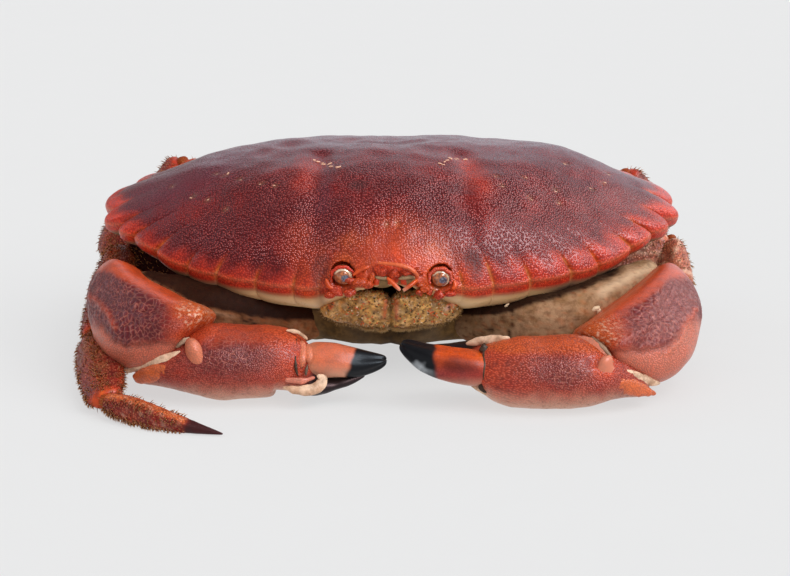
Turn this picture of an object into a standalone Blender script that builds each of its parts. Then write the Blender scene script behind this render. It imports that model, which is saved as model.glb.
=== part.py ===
"""A cooked brown crab resting on its claws and folded legs, one object for each piece of shell.

Axes: -Y is forward (the face), +Z is up and the table is z = 0. Left and right are as seen from
in front, so left is -X.
"""

import math

import bmesh
import bpy
import numpy as np
from mathutils import Matrix, Vector

MM = 0.001
GAP = 0.3 * MM

# Carapace, in its own frame: its rim lies in z = 0
SHELL_WIDTH = 168.5 * MM
SHELL_FRONT = 50 * MM
SHELL_BACK = 60 * MM
BACK_EDGE = 53.5 * MM
FRONT_CURVE = 1.85
BACK_CURVE = 1.5
DOME_HEIGHT = 25 * MM
DOME_CURVE = (2.4, 1.7)
CROWN_FORWARD = 12 * MM
FOLD_DEPTH = 9 * MM
FOLD_INSET = 0.15
FACE_HALF = 24 * MM
SHELL_RINGS = 12
DOME_RINGS = 9

# Scallops of the rim, counted along each side from the middle of the face
FACE_RUN = 20 * MM
FACE_STEPS = 6
TOOTH_DEPTH = 0.7 * MM
LOBES = 10
LOBE_PITCH = 12.3 * MM
LOBE_STEPS = 3
LOBE_DEPTH = 1.9 * MM
BACK_STEPS = 10

# Each of these fades inwards from the rim by its own power of the share of the way out
LOBE_FADE = 12
RELIEF_FADE = 4
RIM_LIFT = 4 * MM
RIM_LIFT_AT = 76 * MM
RIM_LIFT_SPREAD = 12 * MM
RIM_LIFT_FADE = 8
FACE_LIFT = 4 * MM
FACE_LIFT_FADE = 10

# The share of its depth that the fold loses in the middle of the face
FACE_FOLD_LOSS = 0.7

# The body's pose: nose down, with the middle of the rim this high
RIM_HEIGHT = 37.9 * MM
TILT = math.radians(12.4)

# Below the carapace, in its frame
THORAX_HALF = 60 * MM
THORAX_FRONT = 41 * MM
THORAX_BACK = 44 * MM
THORAX_DEPTH = 18.5 * MM
EYE_RADIUS = 2.8 * MM
SOCKET_ROOM = 1 * MM


def at(x, y, z):
    """A point or an offset, from millimetres."""
    return Vector((x, y, z)) * MM


UP = Vector((0, 0, 1))

# The carapace stands this far from the origin, which is under the middle of the whole crab
MIDDLE = Matrix.Translation(at(0.1, 8.3, 0))
BODY = Matrix.Translation((0, 0, RIM_HEIGHT)) @ Matrix.Rotation(TILT, 4, "X")


# Plain maths ---------------------------------------------------------------------------------


def along(stations, s):
    """The value at s (0 to 1) of a smooth curve through evenly spaced numbers or points."""
    last = len(stations) - 1
    i = min(int(s * last), last - 1)
    t = s * last - i
    a = stations[max(i - 1, 0)]
    b = stations[i]
    c = stations[i + 1]
    d = stations[min(i + 2, last)]
    return b + (c - a + (2 * a - 5 * b + 4 * c - d + (3 * b - a - 3 * c + d) * t) * t) * (t / 2)


def around(stations, turn):
    """The value at a turn (0 to 1) round a smooth closed curve through the stations."""
    count = len(stations)
    i = int(turn % 1 * count)
    near = [stations[(i + k) % count] for k in (-1, 0, 1, 2)]
    return along(near, (1 + turn % 1 * count - i) / 3)


def arch(x, power):
    """The height at x (-1 to 1) of a superellipse arch: 2 is a half circle, more is blunter."""
    return max(1 - abs(x) ** power, 0) ** (1 / power)


def bump(distance, radius):
    """1 at the middle of a smooth round hill, falling to 0 at its radius."""
    return max(1 - (distance / radius) ** 2, 0) ** 2


# Building ------------------------------------------------------------------------------------


def collection(name, is_guide=False):
    made = bpy.data.collections.new(name)
    bpy.context.scene.collection.children.link(made)
    made.hide_render = is_guide
    return made


def material(name, color, roughness):
    made = bpy.data.materials.new(name)
    made.use_nodes = True
    shader = made.node_tree.nodes["Principled BSDF"]
    shader.inputs["Base Color"].default_value = (*color, 1)
    shader.inputs["Roughness"].default_value = roughness
    shader.inputs["Metallic"].default_value = 0
    made.diffuse_color = (*color, 1)
    return made


def empty(name, group, matrix, parent=None):
    made = bpy.data.objects.new(name, None)
    made.matrix_local = matrix
    made.parent = parent
    group.objects.link(made)
    return made


def place(name, mesh, surface, parent, origin=(0, 0, 0), group=None):
    """Makes an object of a mesh whose points are given about its origin, in its parent's frame."""
    if mesh.calc_volume(signed=True) < 0:
        bmesh.ops.reverse_faces(mesh, faces=mesh.faces)
    data = bpy.data.meshes.new(name)
    mesh.to_mesh(data)
    mesh.free()
    data.shade_smooth()
    data.materials.append(surface)
    made = bpy.data.objects.new(name, data)
    made.location = origin
    made.parent = parent
    (group or parent.users_collection[0]).objects.link(made)
    return made


def ball(sides, rings):
    """A unit ball, for a shape to be mapped on. Its poles are at z = 1 and z = -1."""
    mesh = bmesh.new()
    bmesh.ops.create_uvsphere(mesh, u_segments=sides, v_segments=rings, radius=1)
    return mesh


def flatten_below_table(mesh, origin):
    """Presses whatever dips below the table flat on it."""
    for vert in mesh.verts:
        vert.co.z = max(vert.co.z, -origin.z)


def limb(name, surface, parent, path, tall, wide, up=UP, blunt=3.0, square=2.3, sides=10, rings=8):
    """A closed limb along a smooth path.

    Tall and wide are half sizes in millimetres at even steps along it: tall towards the up
    direction, wide across it.
    """
    mesh = ball(sides, rings)
    origin = path[0].copy()
    for vert in mesh.verts:
        s = min(max((1 - vert.co.z) / 2, 0), 1)
        forward = along(path, min(s + 0.01, 1)) - along(path, max(s - 0.01, 0))
        side = forward.cross(up).normalized()
        rise = side.cross(forward).normalized()
        turn = math.atan2(vert.co.y, vert.co.x)
        corner = (abs(math.cos(turn)) ** square + abs(math.sin(turn)) ** square) ** (-1 / square)
        reach = corner * arch(2 * s - 1, blunt)
        across = side * math.cos(turn) * along(wide, s) * MM
        upward = rise * math.sin(turn) * along(tall, s) * MM
        vert.co = along(path, s) - origin + (across + upward) * reach
    flatten_below_table(mesh, origin)
    return place(name, mesh, surface, parent, origin)


def pillow(name, surface, parent, outline, front, back, blunt=2.4, sides=18, rings=10):
    """A closed swelling on a closed outline in space, from its front pole to its back pole."""
    mesh = ball(sides, rings)
    centre = sum(outline, Vector()) / len(outline)
    for vert in mesh.verts:
        turn = math.atan2(vert.co.y, vert.co.x) / math.tau
        pole = front if vert.co.z > 0 else back
        height = abs(vert.co.z)
        vert.co = (around(outline, turn) - centre) * arch(height, blunt) + pole * height
    flatten_below_table(mesh, centre)
    return place(name, mesh, surface, parent, centre)


def carve(host, guest, guides, room=GAP):
    """Cuts the shape of the guest from the host, with room all round it."""
    mesh = bmesh.new()
    mesh.from_mesh(guest.data)
    mesh.normal_update()
    shifts = [vert.normal * room for vert in mesh.verts]
    for vert, shift in zip(mesh.verts, shifts):
        vert.co += shift
    name = f"{host.name}_less_{guest.name}"
    cutter = place(name, mesh, guest.data.materials[0], guest.parent, guest.location, guides)
    cutter.display_type = "WIRE"
    cutter.hide_render = True
    cut = host.modifiers.new(name, "BOOLEAN")
    cut.operation = "DIFFERENCE"
    cut.solver = "EXACT"
    cut.object = cutter


# Carapace ------------------------------------------------------------------------------------


def rim_radius(turn):
    """The plain rim's distance from the middle, at an angle in the rim's plane."""
    back = math.sin(turn) > 0
    curve = BACK_CURVE if back else FRONT_CURVE
    depth = SHELL_BACK if back else SHELL_FRONT
    across = abs(math.cos(turn)) / (SHELL_WIDTH / 2)
    fore = abs(math.sin(turn)) / depth
    radius = (across**curve + fore**curve) ** (-1 / curve)
    if back:
        cut = math.sin(turn) / BACK_EDGE
        radius = (radius**-9 + cut**9) ** (-1 / 9)
    return radius


def rim_stops():
    """Angles and outward steps of the rim's points, along the right side from face to back."""
    turns = np.linspace(-math.pi / 2, math.pi / 2, 721)
    radii = np.array([rim_radius(turn) for turn in turns])
    points = np.stack([radii * np.cos(turns), radii * np.sin(turns)])
    run = np.concatenate([[0], np.cumsum(np.hypot(*np.diff(points)))])
    lobe_steps = LOBES * LOBE_STEPS
    face = np.linspace(0, FACE_RUN, FACE_STEPS, endpoint=False)
    lobes = np.linspace(FACE_RUN, FACE_RUN + LOBES * LOBE_PITCH, lobe_steps, endpoint=False)
    back = np.linspace(FACE_RUN + LOBES * LOBE_PITCH, run[-1], BACK_STEPS + 1)
    stops = np.interp(np.concatenate([face, lobes, back]), run, turns)
    teeth = TOOTH_DEPTH * np.cos(np.arange(FACE_STEPS) * math.pi)
    scallops = LOBE_DEPTH * (np.sin(np.arange(lobe_steps) / LOBE_STEPS * math.pi % math.pi) ** 0.6 - 0.6)
    return stops, np.concatenate([teeth, scallops, np.zeros(BACK_STEPS + 1)])


def dome_relief(x, y):
    """The carapace's regions: a stomach swelling, a gill swelling each side, and furrows between."""
    x = abs(x)
    stomach = 0.5 * MM * bump(math.hypot(x, (y + 16 * MM) * 0.8), 20 * MM)
    gills = 2.0 * MM * bump(math.hypot(x - 54 * MM, y - 10 * MM), 34 * MM)
    furrow = -1.1 * MM * bump(x - 20 * MM + (y + 25 * MM) * 0.25, 7 * MM) * bump(y + 8 * MM, 26 * MM)
    return stomach + gills + furrow


def make_carapace(surface, body):
    stops, steps = rim_stops()
    half = len(stops) - 1
    mesh = ball(2 * half, SHELL_RINGS)
    for vert in mesh.verts:
        ring = round(math.acos(max(min(vert.co.z, 1), -1)) / math.pi * SHELL_RINGS)
        # Points round the ball, counted from the middle of the face both ways
        count = round((math.atan2(vert.co.y, vert.co.x) + math.pi / 2) / math.tau * 2 * half) % (2 * half)
        side = 1 if count <= half else -1
        count = min(count, 2 * half - count)
        turn = stops[count]
        inward = min(ring / DOME_RINGS, 1)
        reach = math.sin(inward * math.pi / 2)
        radius = rim_radius(turn) * reach + steps[count] * reach**LOBE_FADE
        x = radius * math.cos(turn)
        y = radius * math.sin(turn)
        if ring <= DOME_RINGS:
            backward = max(math.sin(turn), 0) ** 2
            curve = DOME_CURVE[0] + (DOME_CURVE[1] - DOME_CURVE[0]) * backward
            y -= CROWN_FORWARD * (1 - reach**2)
            z = DOME_HEIGHT * (1 - reach**curve) ** 0.75
            z += dome_relief(x, y) * (1 - reach**RELIEF_FADE)
        else:
            under = (ring - DOME_RINGS) / (SHELL_RINGS - DOME_RINGS - 1)
            inset = 1 - FOLD_INSET * under**1.5
            x *= inset
            y *= inset
            z = -FOLD_DEPTH * min(under, 1) ** 0.8
            # Only the fold's first ring rises over the face, so that no hollow is left behind it
            if y < 0 and ring == DOME_RINGS + 1:
                z *= 1 - FACE_FOLD_LOSS * bump(x, FACE_HALF)
        if ring == SHELL_RINGS:
            x = y = 0
        if ring <= DOME_RINGS + 1:
            z += RIM_LIFT * math.exp(-(((x - RIM_LIFT_AT) / RIM_LIFT_SPREAD) ** 2)) * reach**RIM_LIFT_FADE
            if y < 0:
                z += FACE_LIFT * bump(x, FACE_HALF) * reach**FACE_LIFT_FADE
        vert.co = (side * x, y, z)
    return place("carapace", mesh, surface, body)


# Body below the carapace ---------------------------------------------------------------------


def make_thorax(surface, body):
    """The belly: flat on top, with rounded sides and a floor that deepens to the middle."""
    mesh = ball(20, 8)
    for vert in mesh.verts:
        level = vert.co.z
        spread = arch(level, 2 if level > 0 else 4)
        turn = math.atan2(vert.co.y, vert.co.x)
        depth = THORAX_FRONT if vert.co.y < 0 else THORAX_BACK
        x = THORAX_HALF * math.cos(turn) * spread
        y = depth * math.sin(turn) * spread
        z = -FOLD_DEPTH - GAP - THORAX_DEPTH * max(-level, 0) ** 1.2
        vert.co = (x, y, z)
    return place("thorax", mesh, surface, body)


def make_mouth_plate(name, side, surface, crab):
    outline = [
        at(side * 1.2, -44.5, 25),
        at(side * 10, -44, 26.5),
        at(side * 17.5, -41.5, 25),
        at(side * 18.5, -39.5, 20),
        at(side * 14, -38.5, 14.5),
        at(side * 6, -39.5, 13.5),
        at(side * 1.2, -40.5, 14),
    ]
    return pillow(name, surface, crab, outline, at(0, -3.5, -1), at(0, 2.5, 0.5), 3, 12, 6)


def make_eye(name, side, surface, body):
    mesh = ball(10, 6)
    bmesh.ops.scale(mesh, vec=(EYE_RADIUS,) * 3, verts=mesh.verts)
    return place(name, mesh, surface, body, at(side * 13.4, -46.5, 4.6))


def make_feelers(surface, crab):
    """One long feeler lies across the face, and the short pair meet in a V below it."""
    routes = {
        "feeler_long": [at(8.5, -51.6, 32.6), at(3.5, -51.5, 35.6), at(-2.5, -50, 37)],
        "feeler_short_left": [at(-1.6, -52, 34), at(0.4, -52.6, 31.8), at(2.2, -52.6, 29.4)],
        "feeler_short_right": [at(7.6, -52, 31), at(5.6, -52.6, 29.8), at(3.8, -52.6, 29.2)],
    }
    for name, path in routes.items():
        limb(name, surface, crab, path, [0.7, 0.7, 0.5], [0.7, 0.7, 0.5], at(0, -1, 0), 4, 2, 6, 6)


def make_tail(surface, crab):
    """The tail, folded forward flat under the thorax."""
    path = [BODY @ at(0, *place) for place in ((48, -15), (36, -25), (16, -28), (-6, -28.5))]
    return limb("tail", surface, crab, path, [2, 2, 2, 1.6], [15, 16, 13, 8], square=3, sides=12)


# Claws ---------------------------------------------------------------------------------------


def make_left_claw(shell, pale, crab):
    arm_path = [at(-34, -27, 15), at(-55, -35, 16), at(-73, -27, 22)]
    arm = limb("arm_left", pale, crab, arm_path, [7, 7.5, 7], [8, 8, 7])
    outline = [
        at(-48.8, -57, 24.5),
        at(-58, -49, 27),
        at(-67, -39, 29),
        at(-78, -24, 31.5),
        at(-85, -23, 24.5),
        at(-84.5, -33, 16.5),
        at(-79, -45, 8.5),
        at(-70, -53, 6.5),
        at(-60, -58.5, 11),
        at(-54, -60.5, 18.5),
    ]
    wrist = pillow("wrist_left", shell, crab, outline, at(-1, -15, 5), at(5, 13, -5))
    palm_path = [
        at(-69, -57, 6),
        at(-59, -58, 9.6),
        at(-49, -58, 10.3),
        at(-39, -58, 10),
        at(-29, -58.5, 10.3),
        at(-19, -60, 5),
        at(-7, -60, 7.6),
    ]
    tall = [4, 8, 10.9, 10.6, 9.4, 3, 1.3]
    wide = [5, 9.5, 11, 11, 9.5, 4.6, 1.6]
    palm = limb("palm_left", shell, crab, palm_path, tall, wide, UP, 3, 2.1, 13, 14)
    finger_path = [at(-23.5, -59, 12), at(-15.5, -59.5, 11.9), at(-8, -60, 11.2), at(-1.2, -61, 12.2)]
    tall = [5.4, 4.6, 3.6, 2]
    wide = [6, 5.2, 4, 2.2]
    finger = limb("finger_left", shell, crab, finger_path, tall, wide, rings=10)
    return arm, wrist, palm, finger


def make_right_claw(shell, pale, crab):
    arm_path = [at(28, -33, 15), at(51, -37, 18), at(76, -18, 26)]
    arm = limb("arm_right", pale, crab, arm_path, [7, 8, 7], [8, 8, 7])
    outline = [
        at(51, -58, 19.5),
        at(59.5, -49, 23),
        at(69, -37, 27),
        at(79, -21, 29.5),
        at(85.5, -21, 23.5),
        at(87, -32, 16),
        at(82, -47, 8),
        at(73, -56, 4.2),
        at(61.5, -63, 10),
        at(57, -65, 16.5),
    ]
    wrist = pillow("wrist_right", shell, crab, outline, at(1, -15, 5), at(-5, 13, -5))
    palm_path = [
        at(69.5, -61, 3.5),
        at(60, -64, 8.4),
        at(50.5, -65, 9.6),
        at(41, -65, 9.4),
        at(31, -64.5, 10),
        at(21, -57, 13),
        at(9, -58, 14.5),
    ]
    tall = [3, 7.8, 10.2, 10, 9.4, 3.8, 1.4]
    wide = [5, 9.5, 11, 11, 9.5, 4.5, 1.6]
    palm = limb("palm_right", shell, crab, palm_path, tall, wide, UP, 3, 2.1, 13, 14)
    finger_path = [at(27, -66, 11), at(18.5, -66, 11.8), at(10, -65, 13.8), at(3, -63, 17.2)]
    tall = [5.6, 4.8, 3.9, 2.2]
    wide = [6, 5.4, 4.4, 2.6]
    finger = limb("finger_right", shell, crab, finger_path, tall, wide, rings=10)
    return arm, wrist, palm, finger


# Legs ----------------------------------------------------------------------------------------

# Where each leg's pieces end: hip, the ends of the thigh, knee and shank, and the toe's tip.
LEG_ROUTES = {
    "leg1_left": ((-47, 2, 16), (-80, 2, 28), (-83, -33, 10.5), (-75.5, -73, 4.3), (-43, -90.3, 0.6)),
    "leg2_left": ((-48, 14, 18), (-80, 22, 34), (-86, 26, 20), (-66, 26, 6), (-38, 22, 0.6)),
    "leg3_left": ((-42, 24, 19), (-64.5, 40, 47), (-75, 46, 29), (-63, 49, 8), (-36, 46, 0.6)),
    "leg4_left": ((-35, 31, 20), (-50, 60, 38), (-60, 66, 24), (-46, 68, 6), (-20, 60, 0.6)),
    "leg1_right": ((47, 2, 16), (83, 5, 30), (85, -7, 13), (66, -12, 4), (38, -16, 0.6)),
    "leg2_right": ((48, 14, 18), (73.5, 25.5, 44), (83, 33, 26), (68, 33, 7), (40, 28, 0.6)),
    "leg3_right": ((42, 24, 19), (64, 45, 39), (72, 51, 26), (58, 53, 7), (32, 48, 0.6)),
    "leg4_right": ((35, 31, 20), (48, 63, 36), (58, 69, 22), (42, 70, 6), (16, 62, 0.6)),
}

# The front left leg lies on its side: its pieces are broad across, where the others' are tall
LEG_BROAD_WAY = {"leg1_left": Vector((1, 0, 0.4))}


def make_leg(name, route, shell, crab):
    """Four pieces, each a little shorter than its share of the route so that they stay apart."""
    points = [at(*place) for place in route]
    broad = LEG_BROAD_WAY.get(name, UP)
    pieces = []
    sizes = {
        "thigh": ([6.5, 7, 6.2], [3.8, 4.5, 4.2]),
        "knee": ([5.2, 5.8, 5.4], [4, 4.6, 4.4]),
        "shank": ([6, 6.4, 5], [4.2, 4.4, 3.6]),
        "toe": ([3.6, 3.2, 0.8], [3.2, 2.8, 0.8]),
    }
    for part, (tall, wide), start, end in zip(sizes, sizes.values(), points, points[1:]):
        step = (end - start).normalized() * GAP
        sag = at(0, 0, -3 if part == "thigh" else 0)
        path = [start + step, (start + end) / 2 + sag, end - step]
        pieces.append(limb(f"{name}_{part}", shell, crab, path, tall, wide, broad, 4, 2.3, 6, 6))
    return pieces


def main():
    for leftover in list(bpy.data.objects):
        bpy.data.objects.remove(leftover)
    group = collection("cooked_crab")
    guides = collection("cutters", is_guide=True)
    crab = empty("crab_frame", group, MIDDLE)
    body = empty("body_frame", group, BODY, crab)

    carapace_red = material("carapace_red", (0.30, 0.03, 0.02), 0.4)
    limb_red = material("limb_red", (0.45, 0.10, 0.06), 0.4)
    belly_cream = material("belly_cream", (0.55, 0.38, 0.20), 0.5)
    mouth_tan = material("mouth_tan", (0.40, 0.22, 0.06), 0.6)
    eye_dark = material("eye_dark", (0.05, 0.04, 0.05), 0.2)

    carapace = make_carapace(carapace_red, body)
    thorax = make_thorax(belly_cream, body)
    tail = make_tail(belly_cream, crab)
    carve(thorax, tail, guides)
    make_feelers(limb_red, crab)
    for name, side in (("left", -1), ("right", 1)):
        eye = make_eye(f"eye_{name}", side, eye_dark, body)
        carve(carapace, eye, guides, SOCKET_ROOM)
        plate = make_mouth_plate(f"mouth_plate_{name}", side, mouth_tan, crab)
        carve(carapace, plate, guides)

    wrists = {}
    for name, make_claw in (("left", make_left_claw), ("right", make_right_claw)):
        arm, wrist, palm, finger = make_claw(limb_red, belly_cream, crab)
        wrists[name] = wrist
        carve(thorax, arm, guides)
        carve(arm, carapace, guides)
        carve(arm, wrist, guides)
        carve(wrist, palm, guides)
        carve(palm, finger, guides)

    for name, route in LEG_ROUTES.items():
        thigh, knee, shank, toe = make_leg(name, route, limb_red, crab)
        carve(thorax, thigh, guides)
        carve(thigh, carapace, guides)
        carve(thigh, knee, guides)
        carve(knee, shank, guides)
        carve(shank, toe, guides)
        if name == "leg1_left":
            carve(knee, wrists["left"], guides)
            carve(shank, wrists["left"], guides)


if __name__ == "__main__":
    main()
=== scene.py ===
"""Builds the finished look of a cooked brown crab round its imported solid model.

Shape functions work in millimetres in the crab's own frame: -Y is forward (the face), +Z is up,
the table is z = 0, and x = y = 0 lies under the middle of the carapace's rim. Left and right are
as seen from in front, so left is -X.
"""

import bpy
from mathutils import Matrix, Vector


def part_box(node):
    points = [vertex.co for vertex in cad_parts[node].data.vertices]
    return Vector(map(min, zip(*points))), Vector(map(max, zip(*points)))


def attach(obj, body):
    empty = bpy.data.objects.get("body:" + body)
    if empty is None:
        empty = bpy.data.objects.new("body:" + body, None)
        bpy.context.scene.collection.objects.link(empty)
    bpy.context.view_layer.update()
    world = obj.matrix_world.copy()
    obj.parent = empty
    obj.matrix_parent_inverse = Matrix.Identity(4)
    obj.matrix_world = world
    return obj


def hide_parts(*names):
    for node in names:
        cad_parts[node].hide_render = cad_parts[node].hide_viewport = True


bl_info = {
    "name": "Cooked Crab",
    "version": (1, 0, 0),
    "blender": (4, 5, 0),
    "location": "3D View > Sidebar > Crab",
    "description": "Builds the shell, face, claws and legs of a cooked crab on its solid model",
    "category": "Add Mesh",
}

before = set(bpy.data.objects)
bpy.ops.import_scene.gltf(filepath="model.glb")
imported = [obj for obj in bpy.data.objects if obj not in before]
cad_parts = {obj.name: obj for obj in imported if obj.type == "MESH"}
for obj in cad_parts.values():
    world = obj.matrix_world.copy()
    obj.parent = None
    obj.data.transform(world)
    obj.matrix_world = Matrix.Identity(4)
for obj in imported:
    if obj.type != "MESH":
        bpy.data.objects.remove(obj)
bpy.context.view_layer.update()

import math

import bpy
import numpy as np
from mathutils import Vector, noise

SHELL_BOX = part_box("carapace")

# The carapace's width over its lobes, which sets the scale of everything here
SHELL_SPAN = 168.96
MM = (SHELL_BOX[1].x - SHELL_BOX[0].x) / SHELL_SPAN
ORIGIN = np.array([(SHELL_BOX[0].x + SHELL_BOX[1].x) / 2, (SHELL_BOX[0].y + SHELL_BOX[1].y) / 2, 0])
FORWARD = (0, -1, 0)
UP = (0, 0, 1)
SIDES = {"left": -1, "right": 1}

# Carapace, in its own frame: its rim lies in z = 0
SHELL_WIDTH = 168.5
SHELL_FRONT = 50
SHELL_BACK = 60
BACK_EDGE = 53.5
FRONT_CURVE = 1.85
BACK_CURVE = 1.5
DOME_HEIGHT = 25
CROWN_FORWARD = 12
RIM_LIFT = 4
FOLD_DEPTH = 9
FACE_HALF = 24
FACE_LIFT = 4
RIM_HEIGHT = 37.9
TILT = math.radians(12.4)
EYE_RADIUS = 2.75
SOCKET_RADIUS = 3.35
RIM_STEPS = 1441
SHELL_RINGS = 100
FOLD_RINGS = 16
# How far round the fold the skin has closed up, where 1 is the end of the rim's underside
FOLD_END = 1.25
COLUMN_PITCH = 0.43
BACK_COLUMN_PITCH = 0.95

# Where each side's lobes end, as runs along the rim from the middle of the face, where each
# lobe stands out most, as a share of its width, how deep the notches beside it are, and how far
# it stands out further than its neighbours
LOBE_ENDS = {
    -1: (20, 27.4, 38.7, 50.9, 60.5, 72, 81.6, 89.8, 101.2, 119.5, 138),
    1: (20, 29, 40, 52.8, 62, 74.3, 83.5, 94.2, 105.4, 123.5, 138),
}
LOBE_TIPS = {
    -1: (0.5, 0.5, 0.5, 0.5, 0.5, 0.5, 0.45, 0.52, 0.58, 0.45),
    1: (0.5, 0.5, 0.5, 0.5, 0.5, 0.5, 0.5, 0.6, 0.52, 0.45),
}
LOBE_DEPTHS = (0.6, 0.9, 1.1, 1.1, 1.4, 1.8, 2.8, 4.4, 4.4, 3)
LOBE_OUTS = {
    -1: (0, 0, 0, 0, 0, 0, 0.4, 0.5, 0.9, 0.3),
    1: (0, 0, 0, 0, 0, 0, 0.2, -0.1, 1, 0.3),
}
FIRST_LOBE = LOBE_ENDS[1][0]
LAST_LOBE = LOBE_ENDS[1][-1]
# Lobes with deeper notches than this stand apart as tabs
BIG_LOBE = 2.5

# Columns round each kind of piece, and rings along it
GRIDS = {
    "wrist": (250, 120), "palm": (150, 170), "finger": (80, 110), "arm": (110, 116), "tail": (80, 96),
    "belly": (120, 50), "eye": (64, 50), "mouth": (110, 70), "feeler": (20, 60), "near leg": (44, 60),
    "leg": (36, 48), "strip": (14, 36), "blob": (16, 11), "grain": (8, 7),
}
# A hair's faces, on two rings of three corners and a point, and how near each corner is its tip
HAIR_FACES = ((0, 1, 4, 3), (1, 2, 5, 4), (2, 0, 3, 5), (3, 4, 6), (4, 5, 6), (5, 3, 6), (2, 1, 0))
HAIR_TIPS = (0, 0, 0, 0.5, 0.5, 0.5, 1)
HAIR_CORNERS = len(HAIR_TIPS)
MOUTH_HAIRS = 1400
FRINGE_HAIRS = 900
LEG_HAIRS = 360
NEAR_LEG_HAIRS = 1500
NEAR_TOE_HAIRS = 1100
GRAINS = 260
# How far each shape in a pile is shifted on the flat for every point before it
SHEET_STEP = 0.37

FLECK_SEED = 3
FACE_SEED = 5
LEG_SEED = 11

# What the camera looks at, its angle above the table in degrees, and its distance and lens in
# millimetres
VIEW_MIDDLE = (1.2, 0, 17)
VIEW_RISE = 14
VIEW_DISTANCE = 650
VIEW_LENS = 100
# Half the side of the square floor, in metres
FLOOR_HALF = 6


# Plain maths ----------


def smooth(value, low, high):
    """0 below low and 1 above high, with an even slope between. High may be the smaller."""
    t = np.clip((value - low) / (high - low), 0, 1)
    return t * t * (3 - 2 * t)


def hill(distance, radius):
    """1 at the middle of a smooth round hill, falling to 0 at its radius."""
    return np.maximum(1 - (distance / radius) ** 2, 0) ** 2


def arch(x, power):
    """The height at x (-1 to 1) of a superellipse arch: 2 is a half circle, more is blunter."""
    return np.maximum(1 - np.abs(x) ** power, 0) ** (1 / power)


def bell(distance, width):
    """1 at no distance, fading to nothing over about the width to each side."""
    return np.exp(-((distance / width) ** 2))


def unit(vectors):
    """The vectors at length 1."""
    return vectors / np.maximum(np.linalg.norm(vectors, axis=-1, keepdims=True), 1e-9)


def blend_four(a, b, c, d, t):
    """The smooth curve from b to c at t (0 to 1), with a before it and d after it."""
    return b + (c - a + (2 * a - 5 * b + 4 * c - d + (3 * b - a - 3 * c + d) * t) * t) * (t / 2)


def along(stations, s):
    """Values at s (0 to 1) of a smooth curve through evenly spaced numbers or points."""
    stations = np.asarray(stations, float)
    last = len(stations) - 1
    i = np.clip((s * last).astype(int), 0, last - 1)
    t = s * last - i
    if stations.ndim > 1:
        t = t[..., None]
    near = [stations[np.clip(i + k, 0, last)] for k in (-1, 0, 1, 2)]
    return blend_four(*near, t)


def around(stations, turn):
    """Points at a turn (0 to 1) round a smooth closed curve through the stations."""
    stations = np.asarray(stations, float)
    count = len(stations)
    place = turn % 1 * count
    i = place.astype(int)
    near = [stations[(i + k) % count] for k in (-1, 0, 1, 2)]
    return blend_four(*near, (place - i)[..., None])


def face_on(points):
    """Width and height of points as they lie on a front that leans back one in four."""
    return np.stack([points[..., 0], points[..., 2] + points[..., 1] / 4], -1)


def gap_to(plan, spot):
    """The distance from points in a plane to one point in it."""
    return np.hypot(plan[..., 0] - spot[0], plan[..., 1] - spot[1])


def read_off(x, line):
    """The height at x of a line through pairs of x and height."""
    return np.interp(x, *zip(*line))


def stroke(flat, line, width):
    """1 on a line through points in a plane, fading to nothing over about its width."""
    line = np.asarray(line, float)
    best = np.full(flat.shape[:-1], np.inf)
    for start, end in zip(line, line[1:]):
        step = end - start
        t = np.clip(((flat - start) @ step) / (step @ step), 0, 1)
        best = np.minimum(best, np.linalg.norm(flat - start - t[..., None] * step, axis=-1))
    return bell(best, width)


def patch(flat, centre, size, lean=0, edge=0.45):
    """1 inside a tilted oval in a plane, 0 outside it, with a soft edge."""
    off = flat - np.asarray(centre, float)
    turn = math.radians(lean)
    a = (off[..., 0] * math.cos(turn) + off[..., 1] * math.sin(turn)) / size[0]
    b = (off[..., 1] * math.cos(turn) - off[..., 0] * math.sin(turn)) / size[1]
    return smooth(np.hypot(a, b), 1, edge)


def roughness_at(points, size, shift=0):
    """Smooth noise from about -1 to 1 whose lumps are about size across."""
    flat = points.reshape(-1, 3) / size + shift
    return np.array([noise.noise(Vector(point)) for point in flat]).reshape(points.shape[:-1])


def cells_at(points, sizes):
    """How far points lie from the borders of irregular cells: 0 on a border, about 1 inside."""
    near = [noise.voronoi(Vector(point))[0] for point in points.reshape(-1, 3) / sizes]
    return np.array([second - first for first, second, *_ in near]).reshape(points.shape[:-1])


def lean_back(points):
    """From the carapace's frame to the crab's."""
    y = points[..., 1] * math.cos(TILT) - points[..., 2] * math.sin(TILT)
    z = points[..., 1] * math.sin(TILT) + points[..., 2] * math.cos(TILT) + RIM_HEIGHT
    return np.stack([points[..., 0], y, z], -1)


def ball_grid(kind):
    """Turns and heights of a unit ball's points, from its pole at height 1 to the other."""
    columns, rings = GRIDS[kind]
    fall = np.linspace(0, math.pi, rings)[:, None]
    turn = np.linspace(0, math.tau, columns, endpoint=False)[None, :]
    return np.broadcast_to(turn, (rings, columns)), np.broadcast_to(np.cos(fall), (rings, columns))


# Meshes ----------


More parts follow.
